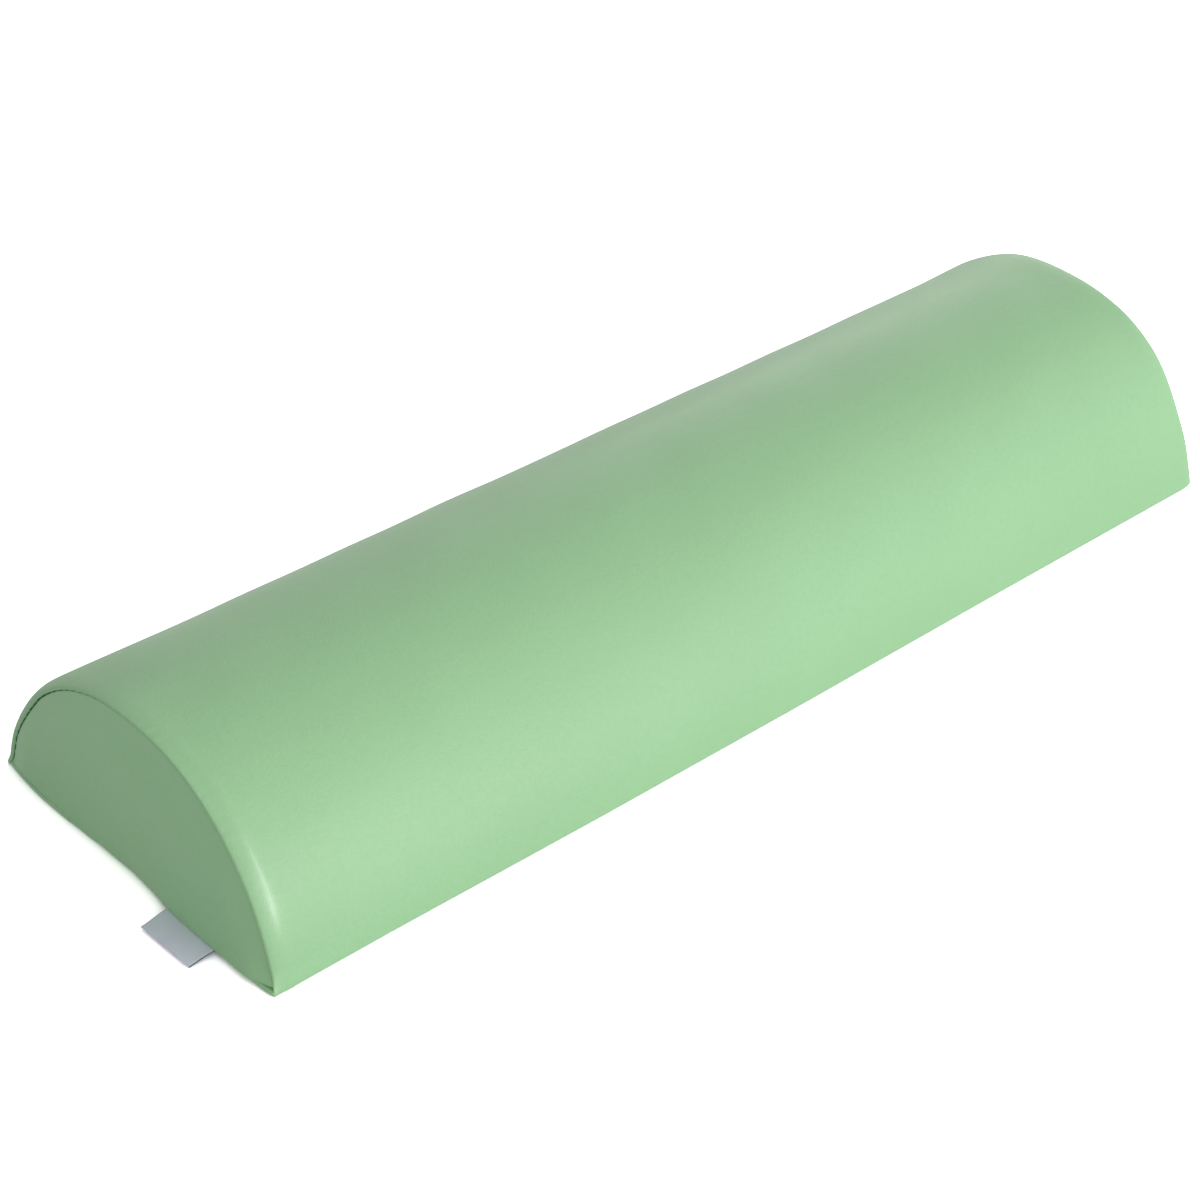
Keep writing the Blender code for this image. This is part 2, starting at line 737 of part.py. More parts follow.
def long_thread(name, side, material):
    """Stitching under a long edge, between the arch panel's roll and the base panel's."""
    height = ROLL_RADIUS - groove_depth(ROLL_RADIUS + SEAM_GAP / 2)
    points = []
    for x in base_stations(END_INSET):
        y = side * (base_seam_y(x) + SEAM_GAP / 2)
        points.append((x, y, height))
    make_thread(name, points, material)


def foot_thread(name, side, start, end, material):
    """Stitching under an end panel, above the base panels' rolled ends."""
    x = side * (RIM_X - RIM_PROUD - ROLL_RADIUS)
    z = ROLL + FIT + THREAD_RADIUS
    make_thread(name, [(x, start, z), (x, (start + end) / 2, z), (x, end, z)], material)


def zip_thread(name, side, material):
    """Topstitching that holds a tape behind its base panel, on the outer face."""
    y = ZIP_Y + side * (SLOT_HALF + STITCH_FROM_EDGE)
    z = ZIP_RECESS - FIT - THREAD_RADIUS
    make_thread(name, [(-TAPE_END_X, y, z), (0, y, z), (TAPE_END_X, y, z)], material)


def make_threads(material):
    seam_end = wall_arc(RIM_X, END_INSET, END_FOOT)[-1].y - ROLL
    tag_near = TAG_Y - TAG_WIDTH / 2 - TAG_TO_THREAD
    tag_far = TAG_Y + TAG_WIDTH / 2 + TAG_TO_THREAD
    arc_thread("thread_near_arc", -1, material)
    arc_thread("thread_far_arc", 1, material)
    long_thread("thread_front_edge", -1, material)
    long_thread("thread_rear_edge", 1, material)
    foot_thread("thread_near_foot_front", -1, -seam_end, tag_near, material)
    foot_thread("thread_near_foot_rear", -1, tag_far, seam_end, material)
    foot_thread("thread_far_foot", 1, -seam_end, seam_end, material)
    zip_thread("thread_zip_front", -1, material)
    zip_thread("thread_zip_rear", 1, material)


def clear_scene():
    for obj in list(bpy.data.objects):
        bpy.data.objects.remove(obj, do_unlink=True)


def main():
    clear_scene()
    cover = new_material("cover", (0.38, 0.66, 0.39), 0.42)
    foam = new_material("foam", (0.86, 0.82, 0.62), 0.95)
    woven = new_material("woven_tag", (0.62, 0.66, 0.68), 0.55)
    tape = new_material("zip_tape", (0.10, 0.22, 0.13), 0.85)
    coil = new_material("zip_coil", (0.12, 0.26, 0.15), 0.45)
    metal = new_material("zip_metal", (0.62, 0.62, 0.60), 0.30, metallic=1.0)
    thread = new_material("thread", (0.09, 0.25, 0.12), 0.60)

    make_foam_core(foam)
    hemmed_sheet("arch_panel", arch_rows, cover)
    make_end_panel("near_end_panel", -1, cover)
    make_end_panel("far_end_panel", 1, cover)
    make_base_panel("base_panel_front", -1, cover)
    make_base_panel("base_panel_rear", 1, cover)
    make_side_tag(woven)
    for word, side in (("front", -1), ("rear", 1)):
        make_zip_row(word, side, tape, coil)
        make_top_stop(word, side, metal)
    make_bottom_stop(metal)
    make_slider(metal)
    make_pull(metal)
    make_threads(thread)


main()
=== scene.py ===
"""Looks of the half round bolster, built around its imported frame."""

import math

import bpy
import numpy as np
from mathutils import Matrix, Vector


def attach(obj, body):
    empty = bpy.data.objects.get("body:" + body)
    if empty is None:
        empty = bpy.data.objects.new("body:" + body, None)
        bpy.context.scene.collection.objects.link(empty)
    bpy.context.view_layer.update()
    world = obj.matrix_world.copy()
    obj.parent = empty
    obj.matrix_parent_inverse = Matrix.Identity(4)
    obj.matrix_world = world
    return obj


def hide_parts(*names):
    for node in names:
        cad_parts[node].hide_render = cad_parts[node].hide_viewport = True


# Sizes that the CAD source has too, in metres
LENGTH = 0.600
WIDTH = 0.195
HEIGHT = 0.084
ROUNDNESS = 2.22
BELOW_FLOOR = 0.039
ROLL_RADIUS = 0.0017
ROLL = 2 * ROLL_RADIUS
ALLOWANCE = 0.009
SEAM_GAP = 0.0004
END_INSET = ROLL + SEAM_GAP
ZIP_Y = 0.045
ZIP_RECESS = 0.0035
SLOT_HALF = 0.0051
SLOT_END_X = 0.2588
SLOT_END_RAMP = 0.009
RECESS_X = 0.268
RECESS_END_RAMP = 0.013
RECESS_HALF = 0.0158
RECESS_RAMP = 0.012
TAPE_END_X = 0.2618
TAPE_LOW = 0.0037
TAPE_THICK = 0.0005
TAPE_EDGE = 0.0007
TAPE_OUTER = 0.0147
COIL_LOW = 0.0016
COIL_TOP = 0.0034
COIL_OUTER = 0.0029
COIL_END_X = 0.2445
TAG_PLY = 0.00022
HEM = ROLL_RADIUS + ALLOWANCE

RIM_X = LENGTH / 2
RISE = HEIGHT + BELOW_FLOOR
FOOT_SHARE = 1 - ((BELOW_FLOOR + ROLL_RADIUS) / RISE) ** ROUNDNESS
HALF_SPAN = WIDTH / 2 / FOOT_SHARE ** (1 / ROUNDNESS)

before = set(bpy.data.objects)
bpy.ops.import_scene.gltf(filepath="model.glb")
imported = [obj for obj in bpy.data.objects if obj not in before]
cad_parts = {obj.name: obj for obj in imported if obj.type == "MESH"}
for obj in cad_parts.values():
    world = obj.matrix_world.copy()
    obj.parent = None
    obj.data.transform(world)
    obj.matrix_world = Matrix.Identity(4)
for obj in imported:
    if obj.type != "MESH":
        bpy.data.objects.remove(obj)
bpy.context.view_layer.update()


def mm(*values):
    return np.array(values) * 0.001


def smooth(share):
    share = np.clip(share, 0, 1)
    return share * share * (3 - 2 * share)


def waves(places, lengths, seed):
    """Sum of sines along places, each wave length with a phase of its own, about -1 to 1."""
    phases = np.random.default_rng(seed).uniform(0, 2 * math.pi, len(lengths))
    total = sum(np.sin(2 * math.pi * places / w + p) for w, p in zip(lengths, phases))
    return total / math.sqrt(len(lengths))


def softened(places, values, reach=None):
    """The same table in fine steps with its corners rounded off, over reach if it is given."""
    if reach is None:
        fine, size = np.linspace(places[0], places[-1], 461), 33
    else:
        fine = np.linspace(places[0] - reach, places[-1] + reach, 401)
        size = max(3, 2 * int(reach / (fine[1] - fine[0])) + 1)
    kernel = np.hanning(size)
    flat = np.pad(np.interp(fine, places, values), size // 2, mode="edge")
    return fine, np.convolve(flat, kernel / kernel.sum(), "valid")


def xyz(x, y, z):
    """Points from their coordinates."""
    return np.stack(np.broadcast_arrays(x, y, z), -1)


def lengths_along(line):
    """Length from the start of a line of points to each of them."""
    steps = np.linalg.norm(np.diff(line, axis=0), axis=1)
    return np.concatenate([[0], np.cumsum(steps)])


# Shape of the wall

# Where the cover rounds down to its end seams: how far that begins behind the rim
SHOULDER = 0.009
SHOULDER_POWER = 2.0
# How far in from the roll's nominal ends the cover's rims are
RIM_EDGES = {-1: 0.0006, 1: -0.0008}
NEAR_X, FAR_X = -RIM_X + RIM_EDGES[-1], RIM_X - RIM_EDGES[1]
# How far the shoulder comes down at the rims, by height, on the front and on the rear
RIM_HEIGHTS = mm(-2, 1, 3, 6, 11, 22, 31, 39, 49, 57, 66, 71, 79, 84, 90)
FRONT_DROPS = mm(-0.4, -0.2, 0.3, 1.3, 2.4, 2.6, 2.5, 2.6, 2.8, 2.8, 2.1, 1.7, 1.3, 1.2, 1.2)
REAR_DROPS = mm(2.2, 2.4, 3.4, 4.8, 4.3, 3.4, 3.8, 4.1, 3.9, 3.1, 2.8, 2.5, 2.0, 1.3, 1.2)
FAR_HEIGHTS = mm(0, 36, 53, 61, 68, 77, 82, 84, 90)
FAR_FRONT_DROPS = mm(0.8, 1.0, 0.5, 0.2, 0.2, 0.3, 0.9, 0.9, 0.9)
FAR_REAR_DROPS = mm(1.6, 1.6, 1.6, 1.9, 2.0, 1.1, 0.9, 0.9, 0.9)
DROP_TABLES = {
    -1: (softened(RIM_HEIGHTS, FRONT_DROPS), softened(RIM_HEIGHTS, REAR_DROPS)),
    1: (softened(FAR_HEIGHTS, FAR_FRONT_DROPS), softened(FAR_HEIGHTS, FAR_REAR_DROPS)),
}
# How far the rear is drawn in beside its far rim: below zero, so that it stands out there
FAR_DRAW_IN = -0.0010
FAR_DRAW_IN_LENGTH = 0.045
FAR_DRAW_IN_FOOT = 0.020
# How far the front flank bows out low down, along the roll
BOW_TABLE = softened(mm(-310, -235, -121, 6, 149, 277, 310), mm(0.1, 0.1, 1.2, 1.2, 0.3, 0.1, 0.1))
BOW_TOP = 0.062
BOW_FADE = 0.055
# The cover stands a little proud over the edge of the hem inside its near seam.
HEM_RIDGE = 0.00024
HEM_RIDGE_FROM_RIM = 0.0084
HEM_RIDGE_WIDTH = 0.0028


def rim_drop(end, z, side):
    """How far the shoulder comes down at a rim, at this height of the plain wall."""
    front, rear = DROP_TABLES[end]
    return np.where(side < 0, np.interp(z, *front), np.interp(z, *rear))


def draw_in(x, z, tilt):
    """How far the wall is drawn in beside its far rim, less how far its front bows out."""
    along = smooth(1 - (RIM_X - x) / FAR_DRAW_IN_LENGTH)
    drawn = FAR_DRAW_IN * along * smooth(tilt * 3) * smooth(z / FAR_DRAW_IN_FOOT)
    bow = np.interp(x, *BOW_TABLE) * smooth((BOW_TOP - z) / BOW_FADE) * smooth(-tilt * 3)
    behind = x + RIM_X - HEM_RIDGE_FROM_RIM
    ridge = HEM_RIDGE * np.exp(-((behind / HEM_RIDGE_WIDTH) ** 2)) * smooth(-tilt * 2.5)
    return drawn - bow - ridge


def plain_wall(tilt):
    """(y, z) and outward normal of the wall's outline at these angles from the top."""
    side = np.sign(tilt)
    across = np.abs(np.sin(tilt)) ** (2 / ROUNDNESS)
    up = np.cos(tilt) ** (2 / ROUNDNESS)
    normal_y = side * across ** (ROUNDNESS - 1) / HALF_SPAN
    normal_z = up ** (ROUNDNESS - 1) / RISE
    size = np.hypot(normal_y, normal_z)
    return side * across * HALF_SPAN, up * RISE - BELOW_FLOOR, normal_y / size, normal_z / size


# How far the near end flares out at its front foot, and over what length, height and width
FLARE = 0.0018
FLARE_LENGTH = 0.015
FLARE_HEIGHT = 0.009
FLARE_FROM = 0.084
FLARE_WIDTH = 0.010
# How far the far rim stands out at its front foot, and in above that
FAR_FLARE = 0.0009
FAR_FLARE_HEIGHT = 0.014
FAR_TUCK = 0.0010
FAR_TUCK_HEIGHT = 0.042
FAR_TUCK_REACH = 0.024
FAR_SIDE_WIDTH = 0.030


def flare(y, z):
    """How far out the near rim stands at its front foot."""
    low = smooth(1 - z / FLARE_HEIGHT)
    return FLARE * low * smooth((-y - FLARE_FROM) / FLARE_WIDTH)


def far_shift(y, z):
    """How far out the far rim stands on its front side: out at its foot and in above that."""
    low = FAR_FLARE * smooth(1 - z / FAR_FLARE_HEIGHT)
    tuck = FAR_TUCK * smooth(1 - np.abs(z - FAR_TUCK_HEIGHT) / FAR_TUCK_REACH)
    return smooth(-y / FAR_SIDE_WIDTH) * (low - tuck)


def flared(points):
    """Moves points beside the rims by the irregularities of the rims."""
    moved = points.copy()
    x, y, z = np.moveaxis(points, -1, 0)
    moved[..., 0] -= flare(y, z) * smooth(1 - (x + RIM_X) / FLARE_LENGTH)
    moved[..., 0] += far_shift(y, z) * smooth(1 - (RIM_X - x) / FLARE_LENGTH)
    return moved


def shoulder(x, z, tilt):
    """How far the cover comes down towards its nearer rim, at the wall's place."""
    down = 0
    for end, rim in RIM_EDGES.items():
        edge = RIM_X - end * x
        share = np.clip((SHOULDER - edge) / (SHOULDER - rim), 0, 1)
        fall = 1 - (1 - share**SHOULDER_POWER) ** (1 / SHOULDER_POWER)
        down = down + rim_drop(end, z, np.sign(tilt)) * fall
    return down


def wall(x, tilt, inset, held_at=None):
    """Points and outward normals of the wall at these angles from the top. The shoulder is
    the one at held_at, if that is given."""
    y, z, normal_y, normal_z = plain_wall(tilt)
    depth = inset + shoulder(x if held_at is None else held_at, z, tilt) + draw_in(x, z, tilt)
    points = xyz(x, y - normal_y * depth, z - normal_z * depth)
    return points, xyz(np.zeros_like(depth), normal_y, normal_z)


HALVINGS = 26


def foot_tilt(x, inset, foot, side, held_at=None):
    """Angle at which the wall, set in this far, comes down to this height on one side."""
    low = np.zeros(np.broadcast(x, inset, foot, side).shape)
    high = np.full_like(low, math.pi / 2)
    for _ in range(HALVINGS):
        middle = (low + high) / 2
        above = wall(x, side * middle, inset, held_at)[0][..., 2] > foot
        low = np.where(above, middle, low)
        high = np.where(above, high, middle)
    return low


def wall_rows(x, share, inset, foot):
    """Wall points at x (rows) by share (columns, -1 at the front foot to 1 at the rear)."""
    x = x[:, None]
    front, rear = (foot_tilt(x, inset, foot, side) for side in (-1.0, 1.0))
    tilt = np.where(share < 0, front, rear) * share
    return *wall(x, tilt, inset), tilt


# Length along the seams of the ends, from the top, by angle
SEAM_TILTS = np.linspace(-math.pi / 2 + 0.02, math.pi / 2 - 0.02, 600)


def seam_lengths():
    y, z, normal_y, normal_z = plain_wall(SEAM_TILTS)
    line = np.stack([y - normal_y * END_INSET, z - normal_z * END_INSET], -1)
    lengths = lengths_along(line)
    return lengths - np.interp(0, SEAM_TILTS, lengths)


SEAM_LENGTHS = seam_lengths()


# Meshes from rings of points

INSIDE = (0, 0, 0.03)


def new_object(name, data):
    obj = bpy.data.objects.new(name, data)
    bpy.context.scene.collection.objects.link(obj)
    return obj


def new_mesh(name, points, faces, material):
    mesh = bpy.data.meshes.new(name)
    mesh.from_pydata([tuple(p) for p in points], [], faces)
    mesh.validate()
    mesh.materials.append(material)
    mesh.shade_smooth()
    return new_object(name, mesh)


def put(item, **settings):
    """Sets these settings of a modifier, lamp or the like, and returns it."""
    for key, value in settings.items():
        setattr(item, key, value)
    return item


def vectors(items, key):
    """One vector of each vertex or face, as rows."""
    values = np.empty(len(items) * 3, np.float32)
    items.foreach_get(key, values)
    return values.reshape(-1, 3)


def grid_faces(rows, columns):
    at = np.arange(rows * columns).reshape(rows, columns)
    quads = np.stack([at[:-1, :-1], at[:-1, 1:], at[1:, 1:], at[1:, :-1]], -1)
    return quads.reshape(-1, 4)


def border_index(rows, columns):
    at = np.arange(rows * columns).reshape(rows, columns)
    return np.concatenate([at[0], at[1:-1, -1], at[-1, ::-1], at[-2:0:-1, 0]])


def ring_faces(inner, outer):
    """Quads between two closed loops of vertex numbers."""
    return np.stack([np.roll(inner, 1), inner, outer, np.roll(outer, 1)], -1)


def loft(rings, capped=True):
    """Points and faces of a run of closed rings, with a face over each end."""
    count, sides = rings.shape[:2]
    at = np.arange(count * sides).reshape(count, sides)
    faces = np.concatenate([ring_faces(*pair) for pair in zip(at[:-1], at[1:])]).tolist()
    if capped:
        faces += [at[0].tolist(), at[-1, ::-1].tolist()]
    return rings.reshape(-1, 3), faces


def skin(name, grid, loops, material):
    """A sheet: its grid of points, then the loops that its edges turn under by."""
    rows, columns = grid.shape[:2]
    points = [grid.reshape(-1, 3)]
    faces = [grid_faces(rows, columns)]
    last = border_index(rows, columns)
    count = rows * columns
    for loop in loops:
        index = count + np.arange(len(loop))
        faces.append(ring_faces(last, index)[:, ::-1])
        points.append(loop)
        count += len(loop)
        last = index
    return new_mesh(name, np.concatenate(points), np.concatenate(faces).tolist(), material)


def outward(obj):
    """Turns the faces so that they look away from the inside of the roll."""
    faces = obj.data.polygons
    if ((vectors(faces, "center") - INSIDE) * vectors(faces, "normal")).sum() < 0:
        obj.data.flip_normals()


# Cloth simulation of the cover panels

SIM_FRAMES = 20
CLOTH = {
    "quality": 6,
    "mass": 0.05,
    "tension_stiffness": 40,
    "compression_stiffness": 40,
    "shear_stiffness": 20,
    "bending_stiffness": 2,
    "vertex_group_mass": "sewn",
    "use_pressure": True,
}


def cubic_matrix(places, knots):
    """Weights that read a grid of knots at places from 0 to knots - 1, without creases."""
    matrix = np.zeros((len(places), knots))
    base = np.clip(np.floor(places).astype(int), 0, knots - 2)
    t = places - base
    weights = ((1 - t) ** 3, 3 * t**3 - 6 * t**2 + 4, -3 * t**3 + 3 * t**2 + 3 * t + 1, t**3)
    for k, weight in enumerate(weights):
        index = np.clip(base + k - 1, 0, knots - 1)
        np.add.at(matrix, (np.arange(len(places)), index), weight / 6)
    return matrix


def simulate(points, pressure, cap):
    """Swells a grid of cloth that is sewn down along its edges, and returns how far each of
    its points moved, at most cap."""
    rows, columns = points.shape[:2]
    mesh = bpy.data.meshes.new("cloth")
    mesh.from_pydata(points.reshape(-1, 3).tolist(), [], grid_faces(rows, columns).tolist())
    obj = new_object("cloth", mesh)
    sewn = obj.vertex_groups.new(name="sewn")
    sewn.add(border_index(rows, columns).tolist(), 1.0, "REPLACE")
    modifier = obj.modifiers.new("cloth", "CLOTH")
    cloth = put(modifier.settings, uniform_pressure_force=pressure, **CLOTH)
    cloth.effector_weights.gravity = 0
    modifier.collision_settings.use_collision = False
    put(modifier.point_cache, frame_start=1, frame_end=SIM_FRAMES)
    scene = bpy.context.scene
    for step in range(1, SIM_FRAMES + 1):
        scene.frame_set(step)
    swollen = obj.evaluated_get(bpy.context.evaluated_depsgraph_get())
    moved = vectors(swollen.to_mesh().vertices, "co")
    swollen.to_mesh_clear()
    scene.frame_set(1)
    bpy.data.objects.remove(obj, do_unlink=True)
    bpy.data.meshes.remove(mesh)
    shift = moved.reshape(points.shape).astype(float) - points
    size = np.linalg.norm(shift, axis=-1, keepdims=True)
    return shift * np.minimum(1, cap / np.maximum(size, 1e-9))


# Node materials

# Where the mix node has its factor, its two colours and its mixed colour
MIX_INPUTS = (0, 6, 7)
MIX_OUTPUT = 2


def shade(colour, factor):
    return tuple(min(1, c * factor) for c in colour)


class Nodes:
    """Short forms for building the nodes of a material or world."""

    def __init__(self, owner):
        owner.use_nodes = True
        self.owner = owner
        self.tree = owner.node_tree

    def feed(self, socket, value):
        if isinstance(value, bpy.types.NodeSocket):
            self.tree.links.new(value, socket)
        else:
            socket.default_value = (*value, 1) if socket.type == "RGBA" else value

    def set(self, node, **values):
        """A name with a capital is an input of the node, and any other is a setting."""
        for key, value in values.items():
            if key[0].isupper():
                self.feed(node.inputs[key.replace("_", " ")], value)
            else:
                setattr(node, key, value)
        return node

    def add(self, kind, **values):
        return self.set(self.tree.nodes.new("ShaderNode" + kind), **values)

    def join(self, kind, *values, **settings):
        """First output of a new node whose inputs are filled in order."""
        node = self.add(kind, **settings)
        for socket, value in zip(node.inputs, values):
            self.feed(socket, value)
        return node.outputs[0]

    def math(self, operation, first, second, kind="Math"):
        return self.join(kind, first, second, operation=operation)

    def mapping(self, vector, scale, rotation):
        node = self.add("Mapping", Vector=vector, Scale=scale, Rotation=rotation)
        return node.outputs["Vector"]

    def texture(self, kind, vector, scale, output, **more):
        node = self.add("Tex" + kind, Vector=vector, Scale=scale, **more)
        return node.outputs[output]

    def noise(self, vector, scale, detail=3.0, output="Fac", **more):
        return self.texture("Noise", vector, scale, output, Detail=detail, **more)

    def voronoi(self, vector, scale, feature="F1"):
        return self.texture("Voronoi", vector, scale, "Distance", feature=feature)

    def wave(self, vector, scale, direction="X", **more):
        return self.texture("Wave", vector, scale, "Fac", bands_direction=direction, **more)

    def range(self, value, low, high, to_low=0.0, to_high=1.0):
        limits = dict(From_Min=low, From_Max=high, To_Min=to_low, To_Max=to_high)
        return self.add("MapRange", Value=value, **limits).outputs["Result"]

    def mix(self, factor, first, second, blend="MIX"):
        node = self.add("Mix", data_type="RGBA", blend_type=blend)
        for index, value in zip(MIX_INPUTS, (factor, first, second)):
            self.feed(node.inputs[index], value)
        return node.outputs[MIX_OUTPUT]

    def bump(self, height, strength, distance, **below):
        shape = dict(Height=height, Strength=strength, Distance=distance, **below)
        return self.add("Bump", **shape).outputs["Normal"]

    def attribute(self, name):
        return self.add("Attribute", attribute_name=name).outputs["Fac"]


class Material(Nodes):
    """Nodes of a new material, with its object coordinates and its shader."""

    def __init__(self, name, colour):
        super().__init__(bpy.data.materials.new(name))
        self.owner.diffuse_color = (*colour, 1)
        self.shader = self.set(self.tree.nodes["Principled BSDF"], Base_Color=colour)
        self.where = self.add("TexCoord").outputs["Object"]

    def finished(self, **inputs):
        """Fills in the shader and returns the material."""
        self.set(self.shader, **inputs)
        return self.owner


GREEN = (0.350, 0.632, 0.337)


def cover_material():
    """Soft faux leather: a fine pebbled grain with faint stretched creases."""
    n = Material("faux_leather", GREEN)
    cloud = n.noise(n.where, 9.0, detail=2.0)
    fleck = n.noise(n.where, 420.0, detail=2.0)
    painted_shade_and_dull = n.attribute("painted_shade_and_dull")
    base = n.mix(n.range(cloud, 0.3, 0.7), shade(GREEN, 0.975), shade(GREEN, 1.02))
    base = n.mix(n.range(fleck, 0.45, 0.8, 0.0, 0.16), base, shade(GREEN, 0.8))
    # A little lighter within a few mm of the rims
    base = n.mix(n.math("MULTIPLY", n.attribute("rim"), 0.25), base, shade(GREEN, 1.12))
    # Painted shade: the colour is darker on the rear beside the near end, where this attribute is
    # high
    base = n.mix(n.math("MULTIPLY", painted_shade_and_dull, 0.6), base, shade(GREEN, 0.86))

    # Grain: pebbles and the grooves between cells, bent a little, with creases over them
    wobble = n.noise(n.where, 160.0, detail=2.0, output="Color")
    shrunk = n.add("VectorMath", operation="SCALE", Vector=wobble, Scale=0.0030)
    bent = n.math("ADD", n.where, shrunk.outputs[0], "VectorMath")
    pebble = n.voronoi(n.mapping(bent, (1000, 1000, 1000), (0, 0, 0)), 0.95)
    cells = n.mapping(bent, (950, 1700, 1700), (0.0, 0.0, 0.4))
    groove = n.range(n.voronoi(cells, 1.0, "DISTANCE_TO_EDGE"), 0.0, 0.3)
    stretched = n.mapping(n.where, (260, 620, 620), (0.0, 0.0, 0.5))
    crease = n.noise(stretched, 1.0, Roughness=0.55, Distortion=0.6)
    broad = n.mapping(n.where, (30, 75, 75), (0.2, 0.3, 0.6))
    fold = n.noise(broad, 1.0, detail=2.0, Distortion=0.4)
    height = n.math("ADD", n.math("MULTIPLY", pebble, 0.35), n.math("MULTIPLY", crease, 1.1))
    height = n.math("ADD", height, n.math("MULTIPLY", groove, 0.30))
    fine = n.bump(height, 0.42, 0.00022)

    # Gloss: more of it at a glancing angle and where the cover is stretched, and less of the
    # glancing part where the shade is painted
    uneven = n.math("ADD", n.math("MULTIPLY", crease, 0.6), n.math("MULTIPLY", cloud, 0.4))
    edge_on = n.add("LayerWeight", Blend=0.5).outputs["Facing"]
    glance = n.range(edge_on, 0.52, 0.88, 0.0, 0.26)
    sheen = n.math("MULTIPLY", glance, n.math("SUBTRACT", 1.0, painted_shade_and_dull))
    return n.finished(
        Base_Color=base,
        Roughness=n.range(uneven, 0.3, 0.7, 0.39, 0.47),
        Normal=n.bump(fold, 0.10, 0.0012, Normal=fine),
        IOR=1.50,
        Sheen_Weight=0.03,
        Sheen_Roughness=0.5,
        Coat_Weight=n.math("MAXIMUM", n.attribute("shine"), sheen),
        Coat_Roughness=0.18,
        Coat_IOR=1.45,
        Coat_Normal=n.bump(height, 0.16, 0.00024),
    )


def foam_material():
    colour = (0.80, 0.75, 0.52)
    n = Material("cut_foam", colour)
    cells = n.voronoi(n.where, 900.0)
    clump = n.noise(n.where, 60.0, detail=4.0)
    # Painted shade: the hollows of the cells, low in the bump, are darker
    base = n.mix(n.range(cells, 0.1, 0.6), shade(colour, 0.72), colour)
    base = n.mix(n.range(clump, 0.4, 0.7, 0.0, 0.3), base, (0.88, 0.84, 0.66))
    return n.finished(Base_Color=base, Roughness=0.95, Normal=n.bump(cells, 0.6, 0.0006))


def tag_material(name, colour, ground):
    """Satin weave: floats along the strip over a darker ground."""
    n = Material(name, colour)
    floats = n.wave(n.where, 1150.0, "Y", Distortion=0.6, Detail_Scale=6.0)
    weave = n.math("MULTIPLY", floats, n.wave(n.where, 620.0, Distortion=0.8))
    cloud = n.noise(n.where, 90.0, detail=2.0)
    base = n.mix(n.range(weave, 0.0, 0.7), ground, colour)
    base = n.mix(n.range(cloud, 0.4, 0.7, 0.0, 0.25), base, shade(colour, 0.85))
    return n.finished(
        Base_Color=base,
        Roughness=n.range(weave, 0.0, 1.0, 0.6, 0.38),
        Normal=n.bump(weave, 0.35, 0.00012),
        Sheen_Weight=0.3,
        Anisotropic=0.4,
    )


def thread_material():
    colour = (0.020, 0.115, 0.030)
    n = Material("sewing_thread", colour)
    twist = n.wave(n.mapping(n.where, (1, 1, 1), (0.4, 0.6, 0.7)), 1500.0)
    fuzz = n.noise(n.where, 2200.0, detail=2.0)
    # Painted shade: the grooves of the twist, low in the bump, are darker
    base = n.mix(n.range(twist, 0.2, 0.9), shade(colour, 0.6), colour)
    base = n.mix(n.range(fuzz, 0.5, 0.8, 0.0, 0.3), base, (0.05, 0.18, 0.08))
    normal = n.bump(twist, 0.5, 0.0001)
    return n.finished(Base_Color=base, Roughness=0.75, Normal=normal, Sheen_Weight=0.04)


def tape_material():
    """Herringbone: slanting ribs that change their slant from stripe to stripe."""
    colour = (0.075, 0.20, 0.105)
    n = Material("zip_tape_weave", colour)
    left, right = (
        n.wave(n.mapping(n.where, (1, 1, 1), (0, 0, slant)), 420.0) for slant in (0.8, -0.8)
    )
    side = n.range(n.wave(n.where, 60.0, "Y"), 0.45, 0.55)
    other = n.math("MULTIPLY", right, n.math("SUBTRACT", 1.0, side))
    weave = n.math("ADD", n.math("MULTIPLY", left, side), other)
    # Painted shade: the low parts between the ribs, low in the bump, are darker
    base = n.mix(n.range(weave, 0.1, 0.8), shade(colour, 0.55), colour)
    base = n.mix(n.range(n.noise(n.where, 300.0), 0.4, 0.8, 0.0, 0.4), base, (0.11, 0.26, 0.14))
    normal = n.bump(weave, 0.6, 0.0002)
    return n.finished(Base_Color=base, Roughness=0.82, Normal=normal, Sheen_Weight=0.25)


def coil_material():
    colour = (0.085, 0.22, 0.115)
    n = Material("zip_coil_nylon", colour)
    cloud = n.noise(n.where, 700.0, detail=2.0)
    base = n.mix(n.range(cloud, 0.35, 0.7), shade(colour, 0.8), (0.11, 0.27, 0.145))
    rough = n.range(cloud, 0.3, 0.7, 0.30, 0.44)
    return n.finished(Base_Color=base, Roughness=rough, Normal=n.bump(cloud, 0.1, 0.0001), IOR=1.53)


def metal_material():
    """Nickel plate with fine scuffs."""
    n = Material("nickel_plate", (0.66, 0.65, 0.62))
    brushed = n.mapping(n.where, (300, 2600, 1400), (0.1, 0.2, 0.3))
    scuff = n.noise(brushed, 1.0, detail=4.0, Roughness=0.6)
    cloud = n.noise(n.where, 260.0, detail=2.0)
    base = n.mix(n.range(cloud, 0.35, 0.75), (0.56, 0.55, 0.52), (0.70, 0.69, 0.66))
    rough = n.range(scuff, 0.35, 0.75, 0.18, 0.36)
    normal = n.bump(scuff, 0.05, 0.0001)
    return n.finished(Base_Color=base, Metallic=1.0, Roughness=rough, Normal=normal)


cover = cover_material()
foam = foam_material()
tag_front = tag_material("tag_face", (0.82, 0.84, 0.95), (0.735, 0.77, 0.92))
tag_back = tag_material("tag_back", (0.045, 0.16, 0.085), (0.02, 0.08, 0.04))
thread = thread_material()
tape = tape_material()
coil = coil_material()
metal = metal_material()

